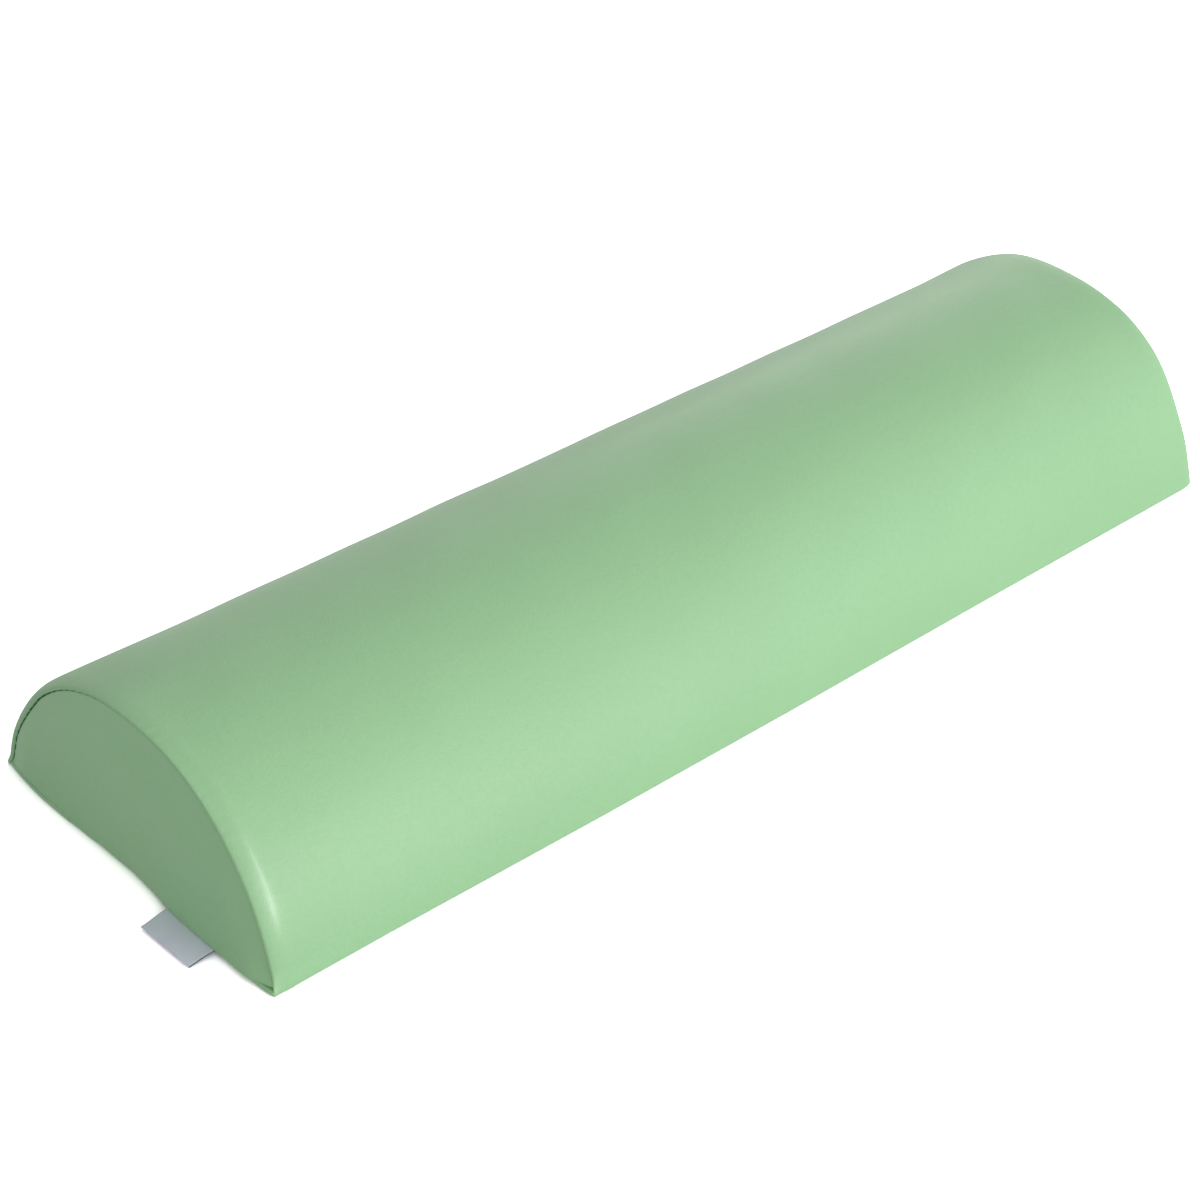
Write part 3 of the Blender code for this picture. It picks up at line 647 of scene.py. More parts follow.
# Where the near hem stretches the cover to a shine, on the front
SHINE_FROM_RIM = 0.0080
SHINE_WIDTH = 0.0026
SHINE_TOP = 0.068
SHINE_FOOT = 0.018
SHINE_FADE = 0.018
# How far the painted shade and the duller gloss reach along the roll, and over what width they set
# in
PAINTED_SHADE_AND_DULL_LENGTH = 0.070
PAINTED_SHADE_AND_DULL_WIDTH = 0.025
# Width of the band along the rims where the cover's colour is a little lighter
RIM_BAND_WIDTH = 0.003


def keep_attribute(obj, name, values):
    attribute = obj.data.attributes.new(name, "FLOAT", "POINT")
    attribute.data.foreach_set("value", np.asarray(values, np.float32))


def mark_rims_shine_and_painted_shade(obj, painted_shade_and_dull_share=0.0):
    """Marks the rims of the cover, the band that its near hem stretches to a shine, and the
    painted shade, with less gloss, on the rear beside its near end."""
    points = vectors(obj.data.vertices, "co")
    to_rim = np.abs(RIM_X - np.abs(points[:, 0]))
    keep_attribute(obj, "rim", np.exp(-((to_rim / RIM_BAND_WIDTH) ** 2)))
    x, y, z = points.T
    across = np.exp(-(((x + RIM_X - SHINE_FROM_RIM) / SHINE_WIDTH) ** 2))
    along = smooth((SHINE_TOP - z) / SHINE_FADE) * smooth((z - SHINE_FOOT) / SHINE_FADE)
    keep_attribute(obj, "shine", across * along * (y < 0))
    behind = np.maximum(x + RIM_X, 0)
    near = smooth(1 - behind / PAINTED_SHADE_AND_DULL_LENGTH)
    # Painted shade, with less glancing gloss, on the rear beside the near end
    keep_attribute(obj, "painted_shade_and_dull", painted_shade_and_dull_share * near * smooth(y / PAINTED_SHADE_AND_DULL_WIDTH))


# Arch panel

ARCH_COLUMNS = 360
# Steps in mm from a rim to its grid's stations: how many, and how long each is
ARCH_STEPS = ((12, 0.3), (12, 0.7), (8, 1.2), (18, 2.2))
ARCH_MIDDLE_STATIONS = 50
FOOT_RADIUS = 0.0011
QUARTER = 5
HEM_STEPS = 2
HEM_SLOPE = (0.0003, 0.00004)
# Radius of the turned rim, and the tighter one below CURL_FULL at the corners
CURL = 0.0012
CORNER_CURL = 0.0008
CURL_FULL = 0.014
RIM_REACH = 0.006
STITCH_PITCH = 0.0056
PUCKER = 0.00006
PUCKER_REACH = 0.0042
SLOW_PUCKER_REACH = 0.016
FAR_PUCKER_SHARE = 0.3
PUCKER_SEEDS = {-1: 31, 1: 41}
UNDULATION = 0.00022
UNDULATION_FADE = 0.012
AROUND_RADIUS = 0.11


def arch_stations():
    steps = np.concatenate([np.full(count, length) for count, length in ARCH_STEPS])
    fine = np.concatenate([[0], np.cumsum(steps)]) * 0.001
    near, far = NEAR_X + fine, FAR_X - fine
    middle = np.linspace(near[-1], far[-1], ARCH_MIDDLE_STATIONS)[1:-1]
    return np.concatenate([near, middle, far[::-1]])


def puckers(tilt, edge, end):
    """The small gathers that each stitch of an end seam leaves in the cover beside it."""
    seed = PUCKER_SEEDS[end]
    along = np.interp(tilt, SEAM_TILTS, SEAM_LENGTHS)
    drift = 0.0005 * waves(along, (0.037, 0.061), seed)
    beat = np.cos(2 * math.pi * (along + drift) / STITCH_PITCH)
    uneven = 0.75 + 0.45 * waves(along, (0.017, 0.029, 0.053), seed + 1)
    gather = 0.45 * waves(along, (0.0083, 0.0127, 0.019), seed + 2)
    slow = waves(along, (0.031, 0.047, 0.083), seed + 3)
    edge = np.maximum(edge, 0)
    close = (beat + gather) * uneven * np.exp(-edge / PUCKER_REACH)
    return PUCKER * (close + 0.35 * slow * np.exp(-edge / SLOW_PUCKER_REACH))


def undulations(points):
    """Slow waves of a cover that is pulled over foam by hand."""
    x, y, z = np.moveaxis(points, -1, 0)
    around = np.arctan2(y, z + BELOW_FLOOR) * AROUND_RADIUS
    first = waves(x + 0.4 * around, (0.071, 0.113, 0.19, 0.31), 21)
    second = waves(around - 0.3 * x, (0.049, 0.083, 0.14), 22)
    third = waves(x - 0.9 * around, (0.055, 0.097), 23)
    return UNDULATION * (first + second * 0.8 + third * 0.7) / 1.6


SIM_X = 61
SIM_ACROSS = 31
PRESSURE = 4.0
MOST_SWELL = 0.0009
SWELL_FADE = 0.060
SWELL_SHARE = 0.5


def arch_swell():
    """Displacement of the simulated arch panel, on its coarse grid."""
    x = np.linspace(NEAR_X, FAR_X, SIM_X)
    points, normals, _ = wall_rows(x, np.linspace(-1, 1, SIM_ACROSS), 0.0, FOOT_RADIUS)
    shift = simulate(points, -PRESSURE, MOST_SWELL)
    return SWELL_SHARE * (shift * normals).sum(-1)


def curl(z):
    """Radius of the arch panel's turned rim, which is tighter low down at the corners."""
    return CURL + (CORNER_CURL - CURL) * smooth((CURL_FULL - z) / CURL_FULL)


def quarter_turn(step):
    """Sine and cosine of a fold's turn, this many steps round."""
    turn = math.pi / 2 * min(step, QUARTER) / QUARTER
    return math.sin(turn), math.cos(turn)


def fold_step(step, radius):
    """One loop of the arch panel's turned edge: how far in and down from its rims, then how
    far in and up from its feet."""
    sine, cosine = quarter_turn(step)
    edge, drop = radius * (1 - cosine), radius * sine
    inset, foot = FOOT_RADIUS * (1 - cosine), FOOT_RADIUS * (1 - sine)
    if step > QUARTER:
        sine, cosine = quarter_turn(step - QUARTER)
        inset, foot = FOOT_RADIUS * (1 + sine), FOOT_RADIUS * (1 - cosine)
        edge = edge + HEM_SLOPE[0] * (step - QUARTER)
        drop = drop + HEM_SLOPE[1] * (step - QUARTER)
    if step > 2 * QUARTER:
        hem = ALLOWANCE * (step - 2 * QUARTER) / HEM_STEPS
        edge, foot = edge + hem, foot + hem
    return edge, drop, inset, foot


def arch_loop(step, x, share, lift, heights):
    """The edge of the arch panel, turned under by this many steps."""
    index = border_index(len(x), len(share))
    row, column = index // len(share), index % len(share)
    edge, drop, inset, foot = fold_step(step, curl(heights.reshape(-1)[index]))
    held_at = x[row]
    place = np.clip(held_at, NEAR_X + edge, FAR_X - edge)
    on_rim = smooth(1 - np.minimum(held_at - NEAR_X, FAR_X - held_at) / RIM_REACH)
    depth = inset + (drop - inset) * on_rim
    side = np.where(share[column] < 0, -1.0, 1.0)
    reach = foot_tilt(place, depth, foot, side, held_at)
    points, normals = wall(place, reach * np.abs(share[column]) * side, depth, held_at)
    fade = max(0.0, 1 - step / QUARTER)
    return flared(points + normals * (lift.reshape(-1)[index] * fade)[:, None])


def make_arch():
    x = arch_stations()
    share = np.linspace(-1, 1, ARCH_COLUMNS + 1)
    points, normals, tilt = wall_rows(x, share, 0.0, FOOT_RADIUS)
    heights = points[..., 2]
    from_near, from_far = x - NEAR_X, FAR_X - x
    from_rim = np.minimum(from_near, from_far)[:, None]
    along = cubic_matrix(from_near / (x[-1] - x[0]) * (SIM_X - 1), SIM_X)
    across = cubic_matrix((share + 1) / 2 * (SIM_ACROSS - 1), SIM_ACROSS)
    held = smooth((1 - np.abs(share)) / 0.05)[None, :]
    lift = along @ arch_swell() @ across.T * smooth(from_rim / SWELL_FADE)
    lift = lift + undulations(points) * held * smooth(from_rim / UNDULATION_FADE)
    lift = lift + puckers(tilt, from_near[:, None], -1) * held
    lift = lift + FAR_PUCKER_SHARE * puckers(tilt, from_far[:, None], 1) * held
    points = flared(points + normals * lift[..., None])
    steps = range(1, 2 * QUARTER + HEM_STEPS + 1)
    loops = [arch_loop(step, x, share, lift, heights) for step in steps]
    obj = skin("arch_cover", points, loops, cover)
    outward(obj)
    mark_rims_shine_and_painted_shade(obj, painted_shade_and_dull_share=1.0)
    return obj


# End panels

CAP_RADIUS = 0.0009
CAP_FOOT_RADIUS = 0.0015
CAP_CROWN = 0.0035
CAP_REACH = 0.030
SEAM_SPACE = 0.0001
CAP_ARC = 300
CAP_BASE = 90
CAP_RINGS = 34
CAP_HEM_SHARE = 0.7
CAP_PUCKER_SHARE = 0.6
# How far the rings beside the seam are in from it
CAP_EDGES = [*np.linspace(0.020, 0.004, 12)[:-1], *mm(4, 3, 2.2, 1.5, 0.9, 0.4, 0)]
# Seam angle that marks the points of an end's foot
NO_SEAM = 9.0
# Height over which a foot's own line fades into the face, and its distance in from the seam
FOOT_HEIGHT = 0.022
FOOT_REACH = 0.014
FAR_FOOT = 0.0026
# The near end's foot from the front to the rear, in mm: its height, how far out it stands,
# and how far out the base panel stands under it
CAP_YS = mm(
    -96, -93, -89, -83, -77, -71, -64, -60, -44, -27, -20, -13,
    0.5, 12, 24, 31, 37, 44, 50, 58, 66, 75, 84, 96,
)
CAP_FEET = mm(
    3.0, 2.6, 2.1, 1.3, 0.8, 1.0, 1.3, 1.5, 1.5, 1.4, 0.9, 0.5,
    0.3, 0.3, 0.5, 0.8, 1.0, 1.3, 1.5, 1.9, 2.2, 2.6, 3.0, 3.1,
)
CAP_OUTS = mm(
    1.6, 2.2, 3.2, 4.0, 4.1, 4.1, 4.4, 4.6, 4.6, 3.9, 2.4, 1.4,
    0.5, 1.1, 1.2, 1.5, 1.5, 1.9, 1.9, 2.1, 2.1, 1.6, 1.0, 0.0,
)
BASE_OUTS = mm(
    0.9, 1.9, 2.5, 2.8, 2.2, 1.4, 0.6, 0, 0, 0, 0, 0,
    0, 0.2, 0.7, 1.3, 1.4, 1.85, 2.1, 2.2, 2.2, 1.55, 0.65, -1.1,
)
FEET_TABLE = softened(CAP_YS, CAP_FEET, 0.006)
OUTS_TABLE = softened(CAP_YS, CAP_OUTS, 0.005)
BASE_TABLE = softened(CAP_YS, BASE_OUTS, 0.004)
# Angles round the near end between which its seam gapes, and by how much
GAPE = 0.00022
GAPE_FROM = 0.45
GAPE_FULL = 0.75


def cap_foot(end, y):
    """Height of an end panel's lower fold."""
    return np.full_like(y, FAR_FOOT) if end > 0 else np.interp(y, *FEET_TABLE)


def foot_out(end, y):
    """How far an end panel's foot stands out from the end of the roll."""
    if end > 0:
        return 0.0016 + 0.0006 * waves(y, (0.061, 0.094), 71)
    return np.interp(y, *OUTS_TABLE)


def gape(end, tilt):
    """How far an end seam gapes, at these angles from the top."""
    if end > 0:
        return np.zeros_like(tilt)
    return GAPE * smooth((tilt - GAPE_FROM) / (GAPE_FULL - GAPE_FROM))


def outline_depth(y, z):
    """Distance in from the wall's outline, near enough."""
    across = np.abs(y) / HALF_SPAN
    up = np.maximum(z + BELOW_FLOOR, 1e-6) / RISE
    size = np.maximum((across**ROUNDNESS + up**ROUNDNESS) ** (1 / ROUNDNESS), 1e-6)
    slope_y = (across / size) ** (ROUNDNESS - 1) / HALF_SPAN
    slope_z = (up / size) ** (ROUNDNESS - 1) / RISE
    return (1 - size) / np.hypot(slope_y, slope_z)


def seam_depth(end, y, z):
    """Distance in from the arch panel's turned rim, near enough."""
    return outline_depth(y, z) - rim_drop(end, z, np.sign(y)) - curl(z)


def cap_out(end, y, z):
    """How far an end panel's face stands out from the end of the roll."""
    inset = np.maximum(seam_depth(end, y, z) - SEAM_SPACE - CAP_RADIUS, 0)
    rise = 1 - (1 - np.clip(inset / CAP_REACH, 0, 1)) ** 2
    seam = CAP_RADIUS - curl(z) - RIM_EDGES[end]
    seam = seam + (flare(y, z) if end < 0 else far_shift(y, z))
    out = seam + CAP_CROWN * rise
    low = smooth(1 - (z - cap_foot(end, y)) / FOOT_HEIGHT)
    out = out + (foot_out(end, y) - out) * low * smooth(inset / FOOT_REACH)
    ripple = waves(y + 0.5 * z, (0.043, 0.066, 0.101), 50 + end)
    return out + 0.00012 * ripple * smooth(inset / 0.012)


def cap_loop(end, inset, lower):
    """(y, z) outline across an end, inset from the seam, with its foot raised by lower."""
    share = np.linspace(-1, 1, CAP_ARC + 1)
    x = end * (RIM_X - RIM_EDGES[end])
    reach = []
    for side in (-1.0, 1.0):
        foot = cap_foot(end, np.array([side * WIDTH / 2])) + lower
        reach.append(foot_tilt(x, curl(foot) + inset, foot, side)[0])
    side = np.where(share < 0, -1.0, 1.0)
    tilt = np.where(share < 0, reach[0], reach[1]) * np.abs(share) * side
    depth = curl(plain_wall(tilt)[1]) + (inset + gape(end, tilt))
    arc = wall(x, tilt, depth)[0][:, 1:]
    steps = np.linspace(0, 1, CAP_BASE + 1)[1:-1, None]
    base = arc[-1] * (1 - steps) + arc[0] * steps
    base[:, 1] = cap_foot(end, base[:, 0]) + lower
    return np.concatenate([arc, base]), np.concatenate([tilt, np.full(len(base), NO_SEAM)])


def cap_rings(end):
    """Rings of the end's face from its middle out to its folds: (y, z) and the seam angle."""
    seam = SEAM_SPACE + CAP_RADIUS
    outer = [cap_loop(end, seam + edge, CAP_FOOT_RADIUS + edge) for edge in CAP_EDGES]
    first, tilt = outer[0]
    middle = np.array([0.0, 0.42 * HEIGHT])
    shrinks = np.linspace(0.03, 1, CAP_RINGS)[:-1]
    return [(middle + (first - middle) * shrink, tilt) for shrink in shrinks] + outer


CAP_SIM_ROWS = 15
CAP_SIM_COLUMNS = 33
CAP_MOST_SWELL = 0.0010
# How far the simulated grid is in from the outline, and its foot's height
CAP_SIM_INSET = 0.004
CAP_SIM_FOOT = 0.003


def cap_sim_top(y):
    """Height of the simulated grid's upper edge."""
    up = np.maximum(1 - (np.abs(y) / HALF_SPAN) ** ROUNDNESS, 0) ** (1 / ROUNDNESS)
    return np.maximum(up * RISE - BELOW_FLOOR - CAP_SIM_INSET, 2 * CAP_SIM_FOOT)


def cap_swell(end):
    """Simulates an end panel on a coarse grid, and gives a function of (y, z) for it."""
    half = WIDTH / 2 - CAP_SIM_INSET
    across = np.linspace(-1, 1, CAP_SIM_COLUMNS)
    up = np.linspace(0, 1, CAP_SIM_ROWS)
    y = across[None, :] * half * np.ones((CAP_SIM_ROWS, 1))
    z = CAP_SIM_FOOT + (cap_sim_top(y) - CAP_SIM_FOOT) * up[:, None]
    points = xyz(end * (RIM_X + cap_out(end, y, z)), y, z)
    shift = simulate(points, -PRESSURE * end, CAP_MOST_SWELL)[..., 0] * end

    def swell_at(ring):
        y, z = ring[:, 0], ring[:, 1]
        row = np.clip((z - CAP_SIM_FOOT) / (cap_sim_top(y) - CAP_SIM_FOOT), 0, 1)
        column = np.clip(y / half / 2 + 0.5, 0, 1)
        rows = cubic_matrix(row * (CAP_SIM_ROWS - 1), CAP_SIM_ROWS)
        columns = cubic_matrix(column * (CAP_SIM_COLUMNS - 1), CAP_SIM_COLUMNS)
        return ((rows @ shift) * columns).sum(1)

    return swell_at


def make_cap(end, name):
    swell_at = cap_swell(end)
    loops = []
    for ring, tilt in cap_rings(end):
        y, z = ring[:, 0], ring[:, 1]
        out = cap_out(end, y, z) + swell_at(ring)
        edge = np.maximum(seam_depth(end, y, z), 0)
        out = out + CAP_PUCKER_SHARE * puckers(tilt, edge * 1.6, end) * (tilt < NO_SEAM)
        loops.append(np.column_stack([end * (RIM_X + out), ring]))
    count = len(ring)
    at = np.arange(count)
    to_foot = np.minimum(np.abs(at - CAP_ARC), count - at)
    on_foot = np.where(at > CAP_ARC, smooth(to_foot / 6), 0.0)
    radius = CAP_RADIUS + (CAP_FOOT_RADIUS - CAP_RADIUS) * on_foot
    for step in range(1, QUARTER + HEM_STEPS + 2):
        sine, cosine = quarter_turn(step)
        ring, _ = cap_loop(end, SEAM_SPACE + CAP_RADIUS * (1 - sine), CAP_FOOT_RADIUS * (1 - sine))
        hem = ALLOWANCE * CAP_HEM_SHARE * max(0, step - QUARTER) / (HEM_STEPS + 1)
        depth = radius * (1 - cosine) + hem
        loops.append(np.column_stack([end * (RIM_X + out - depth), ring]))
    points, faces = loft(np.stack(loops), capped=False)
    faces += [((i + 1) % count, i, len(points)) for i in range(count)]
    points = np.concatenate([points, loops[0].mean(0, keepdims=True)])
    obj = new_mesh(name, points, faces, cover)
    outward(obj)
    mark_rims_shine_and_painted_shade(obj)
    return obj


# Base panels

BASE_FOLD = 0.0011
BASE_CORNER = 0.0026
BASE_RIPPLE = 0.00010
BASE_SIDE_COLUMNS = {-1: 91, 1: 37}
BASE_END_REACH = 0.025
FAR_BASE_OUT = 0.0006
# The slot's half width past its ends
SLOT_CLOSED = 0.00015


def zip_share(x, y):
    along = smooth(1 - (np.abs(x) - RECESS_X) / RECESS_END_RAMP)
    across = smooth(1 - (np.abs(y - ZIP_Y) - RECESS_HALF) / RECESS_RAMP)
    return along * across


def slot_half(x):
    open_share = smooth((SLOT_END_X - np.abs(x)) / SLOT_END_RAMP)
    return SLOT_CLOSED + (SLOT_HALF - SLOT_CLOSED) * open_share


def base_edge_y(x, side):
    """Where a base panel ends, beside the arch panel's turned foot."""
    x = np.clip(np.atleast_1d(x), -RIM_X + 0.003, RIM_X - 0.003)
    inset = 2 * FOOT_RADIUS + SEAM_SPACE
    tilt = foot_tilt(x, inset, FOOT_RADIUS, side)
    return np.abs(wall(x, side * tilt, inset)[0][:, 1])


def base_rows(side, edge, depth, x, share):
    """Points of a base panel, in by edge from its outline and up by depth from its face."""
    station = np.clip(x, -RIM_X + edge, RIM_X - edge)
    outer = side * (base_edge_y(station, side) - edge)
    inner = ZIP_Y + side * (slot_half(station) + edge)
    y = outer[:, None] + (inner - outer)[:, None] * share[None, :]
    x = station[:, None] + np.zeros_like(y)
    # The near edge follows the end's own foot, and the far edge stays a little behind it.
    x = x - np.interp(y, *BASE_TABLE) * smooth(1 - (x + RIM_X) / BASE_END_REACH)
    x = x + FAR_BASE_OUT * smooth(1 - (RIM_X - x) / BASE_END_REACH)
    if side < 0:
        corner = smooth((-RIM_X + 0.0008 - x) / 0.0014) * smooth(1 - share / 0.06)
        y = y - BASE_CORNER * corner
    along = waves(x + 0.35 * y, (0.033, 0.052, 0.09), 60 + side)
    across = waves(y - 0.2 * x, (0.021, 0.037), 62 + side)
    z = depth + ZIP_RECESS * zip_share(x, y) + BASE_RIPPLE * (along + across + 2.0)
    return xyz(x, y, z)


def base_fold_steps():
    """How far in and how far up each loop of a base panel's folded edge is."""
    for i in range(1, 2 * QUARTER + 1):
        turn = math.pi * i / (2 * QUARTER)
        yield (1 - math.sin(turn)) * BASE_FOLD, (1 - math.cos(turn)) * BASE_FOLD
    for i in range(1, HEM_STEPS + 1):
        yield BASE_FOLD + ALLOWANCE * i / HEM_STEPS, 2 * BASE_FOLD


def make_base(side, name):
    stations = [np.arange(BASE_FOLD * 1000, 8, 1.0), np.arange(8, 60, 1.8), np.arange(60, 300, 5.0)]
    half = np.concatenate(stations) * 0.001
    x = np.concatenate([-RIM_X + half, (RIM_X - half)[::-1]])
    share = np.linspace(0, 1, BASE_SIDE_COLUMNS[side])
    grid = base_rows(side, BASE_FOLD, 0.0, x, share)
    at_ends = x.copy()
    at_ends[0], at_ends[-1] = -RIM_X, RIM_X
    edge = border_index(len(x), len(share))
    loops = []
    for inset, depth in base_fold_steps():
        loops.append(base_rows(side, inset, depth, at_ends, share).reshape(-1, 3)[edge])
    obj = skin(name, grid, loops, cover)
    if vectors(obj.data.polygons, "normal")[: len(x) * 10, 2].sum() > 0:
        obj.data.flip_normals()
    keep_attribute(obj, "rim", np.zeros(len(obj.data.vertices)))
    return obj


# Stitching

STITCH_BEND = np.array([-1.0, -0.86, -0.45, 0.0, 0.45, 0.86, 1.0])
STITCH_SINK = 0.0004
THREAD_SIDES = 6
# Spread of the stitches' places and lengths, as shares of them
STITCH_SPREAD = 0.03
SEAM_RISE = 0.00048
# Pitch, length and thread's radius of each kind of stitch
SEAM_STITCHES = (STITCH_PITCH, 0.0045, 0.00029)
FOOT_STITCHES = (STITCH_PITCH, 0.0045, 0.00026)
ZIP_STITCHES = (0.0036, 0.0028, 0.00028)
ZIP_SEAM_FROM_SLOT = 0.003


def tube(points, radius):
    """Points and faces of a thread along a path."""
    tangent = np.gradient(points, axis=0)
    tangent /= np.linalg.norm(tangent, axis=1, keepdims=True)
    steep = np.abs(tangent).max(0)
    helper = np.eye(3)[2 if steep[2] <= 0.9 else 1 if steep[1] < 0.9 else 0]
    first = np.cross(tangent, helper)
    first /= np.linalg.norm(first, axis=1, keepdims=True)
    second = np.cross(tangent, first)
    turn = 2 * math.pi * np.arange(THREAD_SIDES)[:, None] / THREAD_SIDES
    ring = first[:, None] * np.cos(turn) + second[:, None] * np.sin(turn)
    radius = np.broadcast_to(radius, len(points))
    return loft(points[:, None] + ring * radius[:, None, None])


def stitches(name, path, out, pitch, length, radius):
    """A run of separate stitches along a path, each dipping into the sheet at its ends."""
    along = lengths_along(path)
    count = max(1, int(along[-1] / pitch))
    pitch = along[-1] / count
    random = np.random.default_rng(len(path) + count)
    sink = np.array(out, float) * (STITCH_SINK * STITCH_BEND[:, None] ** 4)
    taper = radius * np.sqrt(np.clip(1 - 0.45 * STITCH_BEND**4, 0.1, 1))
    all_points, all_faces = [], []
    first = 0
    for i in range(count):
        middle = (i + 0.5) * pitch + random.normal(0, STITCH_SPREAD) * pitch
        half = length / 2 * (1 + random.normal(0, STITCH_SPREAD))
        places = middle + STITCH_BEND * half
        line = np.stack([np.interp(places, along, path[:, k]) for k in range(3)], -1)
        points, faces = tube(line - sink, taper)
        all_points.append(points)
        all_faces += [[first + v for v in face] for face in faces]
        first += len(points)
    return new_mesh(name, np.concatenate(all_points), all_faces, thread)


def seam_lines():
    """Each sewn line: its name, path, outward direction and kind of stitch."""
    for word, end in (("near", -1), ("far", 1)):
        tilt = np.linspace(-1.24, 1.24, 500)
        x = end * (RIM_X - RIM_EDGES[end])
        radius = curl(plain_wall(tilt)[1])
        open_by = gape(end, tilt)
        points, _ = wall(x, tilt, radius + SEAM_SPACE / 2 + open_by / 2)
        points[:, 0] -= end * (radius - SEAM_RISE * (0.4 + 0.6 * open_by / GAPE))
        points = flared(points)
        yield f"{word}_arc", points[points[:, 2] > 0.004], (end, 0, 0), SEAM_STITCHES
    x = np.linspace(-RIM_X + 0.005, RIM_X - 0.005, 240)
    for word, side in (("front", -1), ("rear", 1)):
        y = side * (base_edge_y(x, side) + SEAM_SPACE / 2)
        yield f"{word}_edge", xyz(x, y, 0.00085), (0, 0, -1), SEAM_STITCHES
    stop = WIDTH / 2 - 0.008
    beside_tag = TAG_HALF[0] + 0.001
    for word, end, start, last in (
        ("near_foot_front", -1, -stop, TAG_PLACE[0] - beside_tag),
        ("near_foot_rear", -1, TAG_PLACE[0] + beside_tag, stop),
        ("far_foot", 1, -stop, stop),
    ):
        y = np.linspace(start, last, 80)
        out = np.minimum(foot_out(end, y), 0.0035) - CAP_FOOT_RADIUS * 1.2
        line = xyz(end * (RIM_X + out), y, cap_foot(end, y) + 0.0003)
        yield word, line, (end, 0, 0), FOOT_STITCHES
    for word, side in (("front", -1), ("rear", 1)):
        x = np.linspace(-TAPE_END_X, TAPE_END_X, 160)
        y = ZIP_Y + side * (SLOT_HALF + ZIP_SEAM_FROM_SLOT)
        line = xyz(x, y, ZIP_RECESS * zip_share(x, y) + 0.00012)
        yield f"zip_{word}", line, (0, 0, -1), ZIP_STITCHES


def make_stitches():
    for word, path, out, kind in seam_lines():
        obj = stitches(f"stitches_{word}", path, out, *kind)
        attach(obj, "cover")
        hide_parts(f"thread_{word}")


# Zip

COIL_PITCH = 0.00155
COIL_WIRE = 0.00032
COIL_INNER = -0.0006
LOOP_POINTS = 12
TAPE_BEAD = 0.00012
TAPE_WAVE = 0.00005
# Height of the tape's underside, by the distance from the zip's middle, and the points of it
# that its upper side repeats
TAPE_UNDER = (
    (TAPE_EDGE, 0.00010),
    (TAPE_EDGE + 0.0004, -TAPE_BEAD / 2),
    (TAPE_EDGE + 0.0010, 0.0),
    (0.0045, 0.00006),
    (0.0090, 0.00006),
    (TAPE_OUTER - 0.0010, 0.0),
    (TAPE_OUTER, 0.00012),
)
TAPE_UPPER = (6, 5, 3, 1, 0)
METAL_BEVEL = 0.00022
STOP_BEVEL = 0.00012


def make_coil(word, side):
    """One row of loops that meshes with the other across the centre line."""
    loops = int(2 * COIL_END_X / COIL_PITCH) - 1
    turn = np.arange(loops * LOOP_POINTS) / LOOP_POINTS
    phase = 2 * math.pi * turn
    low, high = COIL_LOW + COIL_WIRE, COIL_TOP - COIL_WIRE
    inner, outer = COIL_INNER, COIL_OUTER - COIL_WIRE
    bend = np.sign(np.cos(phase)) * np.abs(np.cos(phase)) ** 0.7
    out = (inner + outer) / 2 - bend * (outer - inner) / 2
    up = (low + high) / 2 + np.sin(phase) * (high - low) / 2
    # The loop runs straight across and only advances at its outer bend.
    advance = smooth((np.mod(turn, 1) - 0.25) / 0.5)
    x = -COIL_END_X + (np.floor(turn) + advance + (1.1 if side > 0 else 0.6)) * COIL_PITCH
    points, faces = tube(xyz(x, ZIP_Y + side * out, ZIP_RECESS + up), COIL_WIRE)
    obj = new_mesh(f"coil_{word}", points, faces, coil)
    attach(obj, "cover")
    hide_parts(f"zip_coil_{word}")


def make_tape(word, side):
    """Woven tape with a corded edge beside the coil and a soft wave along it."""
    x = np.linspace(-TAPE_END_X, TAPE_END_X, 260)
    upper = [(TAPE_UNDER[i][0], TAPE_THICK - TAPE_UNDER[i][1]) for i in TAPE_UPPER]
    wave = TAPE_WAVE * waves(x, (0.006, 0.011, 0.019), 80 + side)
    rows = []
    for out, up in (*TAPE_UNDER, *upper):
        z = ZIP_RECESS + (TAPE_LOW + up) + wave * smooth((out - 0.002) / 0.004)
        rows.append(xyz(x, ZIP_Y + side * out, z))
    points, faces = loft(np.stack(rows, 1))
    obj = new_mesh(f"tape_{word}", points, faces, tape)
    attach(obj, "cover")
    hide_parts(f"zip_tape_{word}")


def dress_metal():
    stops = ("zip_top_stop_front", "zip_top_stop_rear", "zip_bottom_stop")
    for node in ("zip_slider", "zip_pull", *stops):
        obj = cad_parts[node]
        width = STOP_BEVEL if node in stops else METAL_BEVEL
        obj.data.materials.clear()
        obj.data.materials.append(metal)
        put(
            obj.modifiers.new("soft edges", "BEVEL"), width=width, segments=2,
            limit_method="ANGLE", angle_limit=math.radians(35), harden_normals=True,
        )


# Side tag

# The tag's middle and half width at its root and at its fold, and where these are
TAG_PLACE = (-0.0452, -0.0461)
TAG_HALF = (0.0166, 0.0158)
TAG_FOLD_X = -RIM_X - 0.0177
TAG_ROOT_X = -RIM_X + HEM
TAG_REACH = TAG_FOLD_X - TAG_ROOT_X
# Height of its middle line, by the share of the way from its root to its fold
TAG_SHARES = (0.0, 0.30, 0.42, 0.60, 0.80, 1.0)
TAG_HEIGHTS = mm(1.0, 1.0, 1.4, 2.1, 1.7, 0.9)
TAG_BEND = 0.003
TAG_GAP = 0.00013
TAG_OUTER_GAP = 0.00005
TAG_ARCH = 0.0005
TAG_SLANT = 0.0002
TAG_RIPPLE = 0.00010
TAG_SKEW = 0.0004
LOWER_PLY_SHIFT = (0.0004, 0.0002)
TAG_CLEARANCE = 0.0003


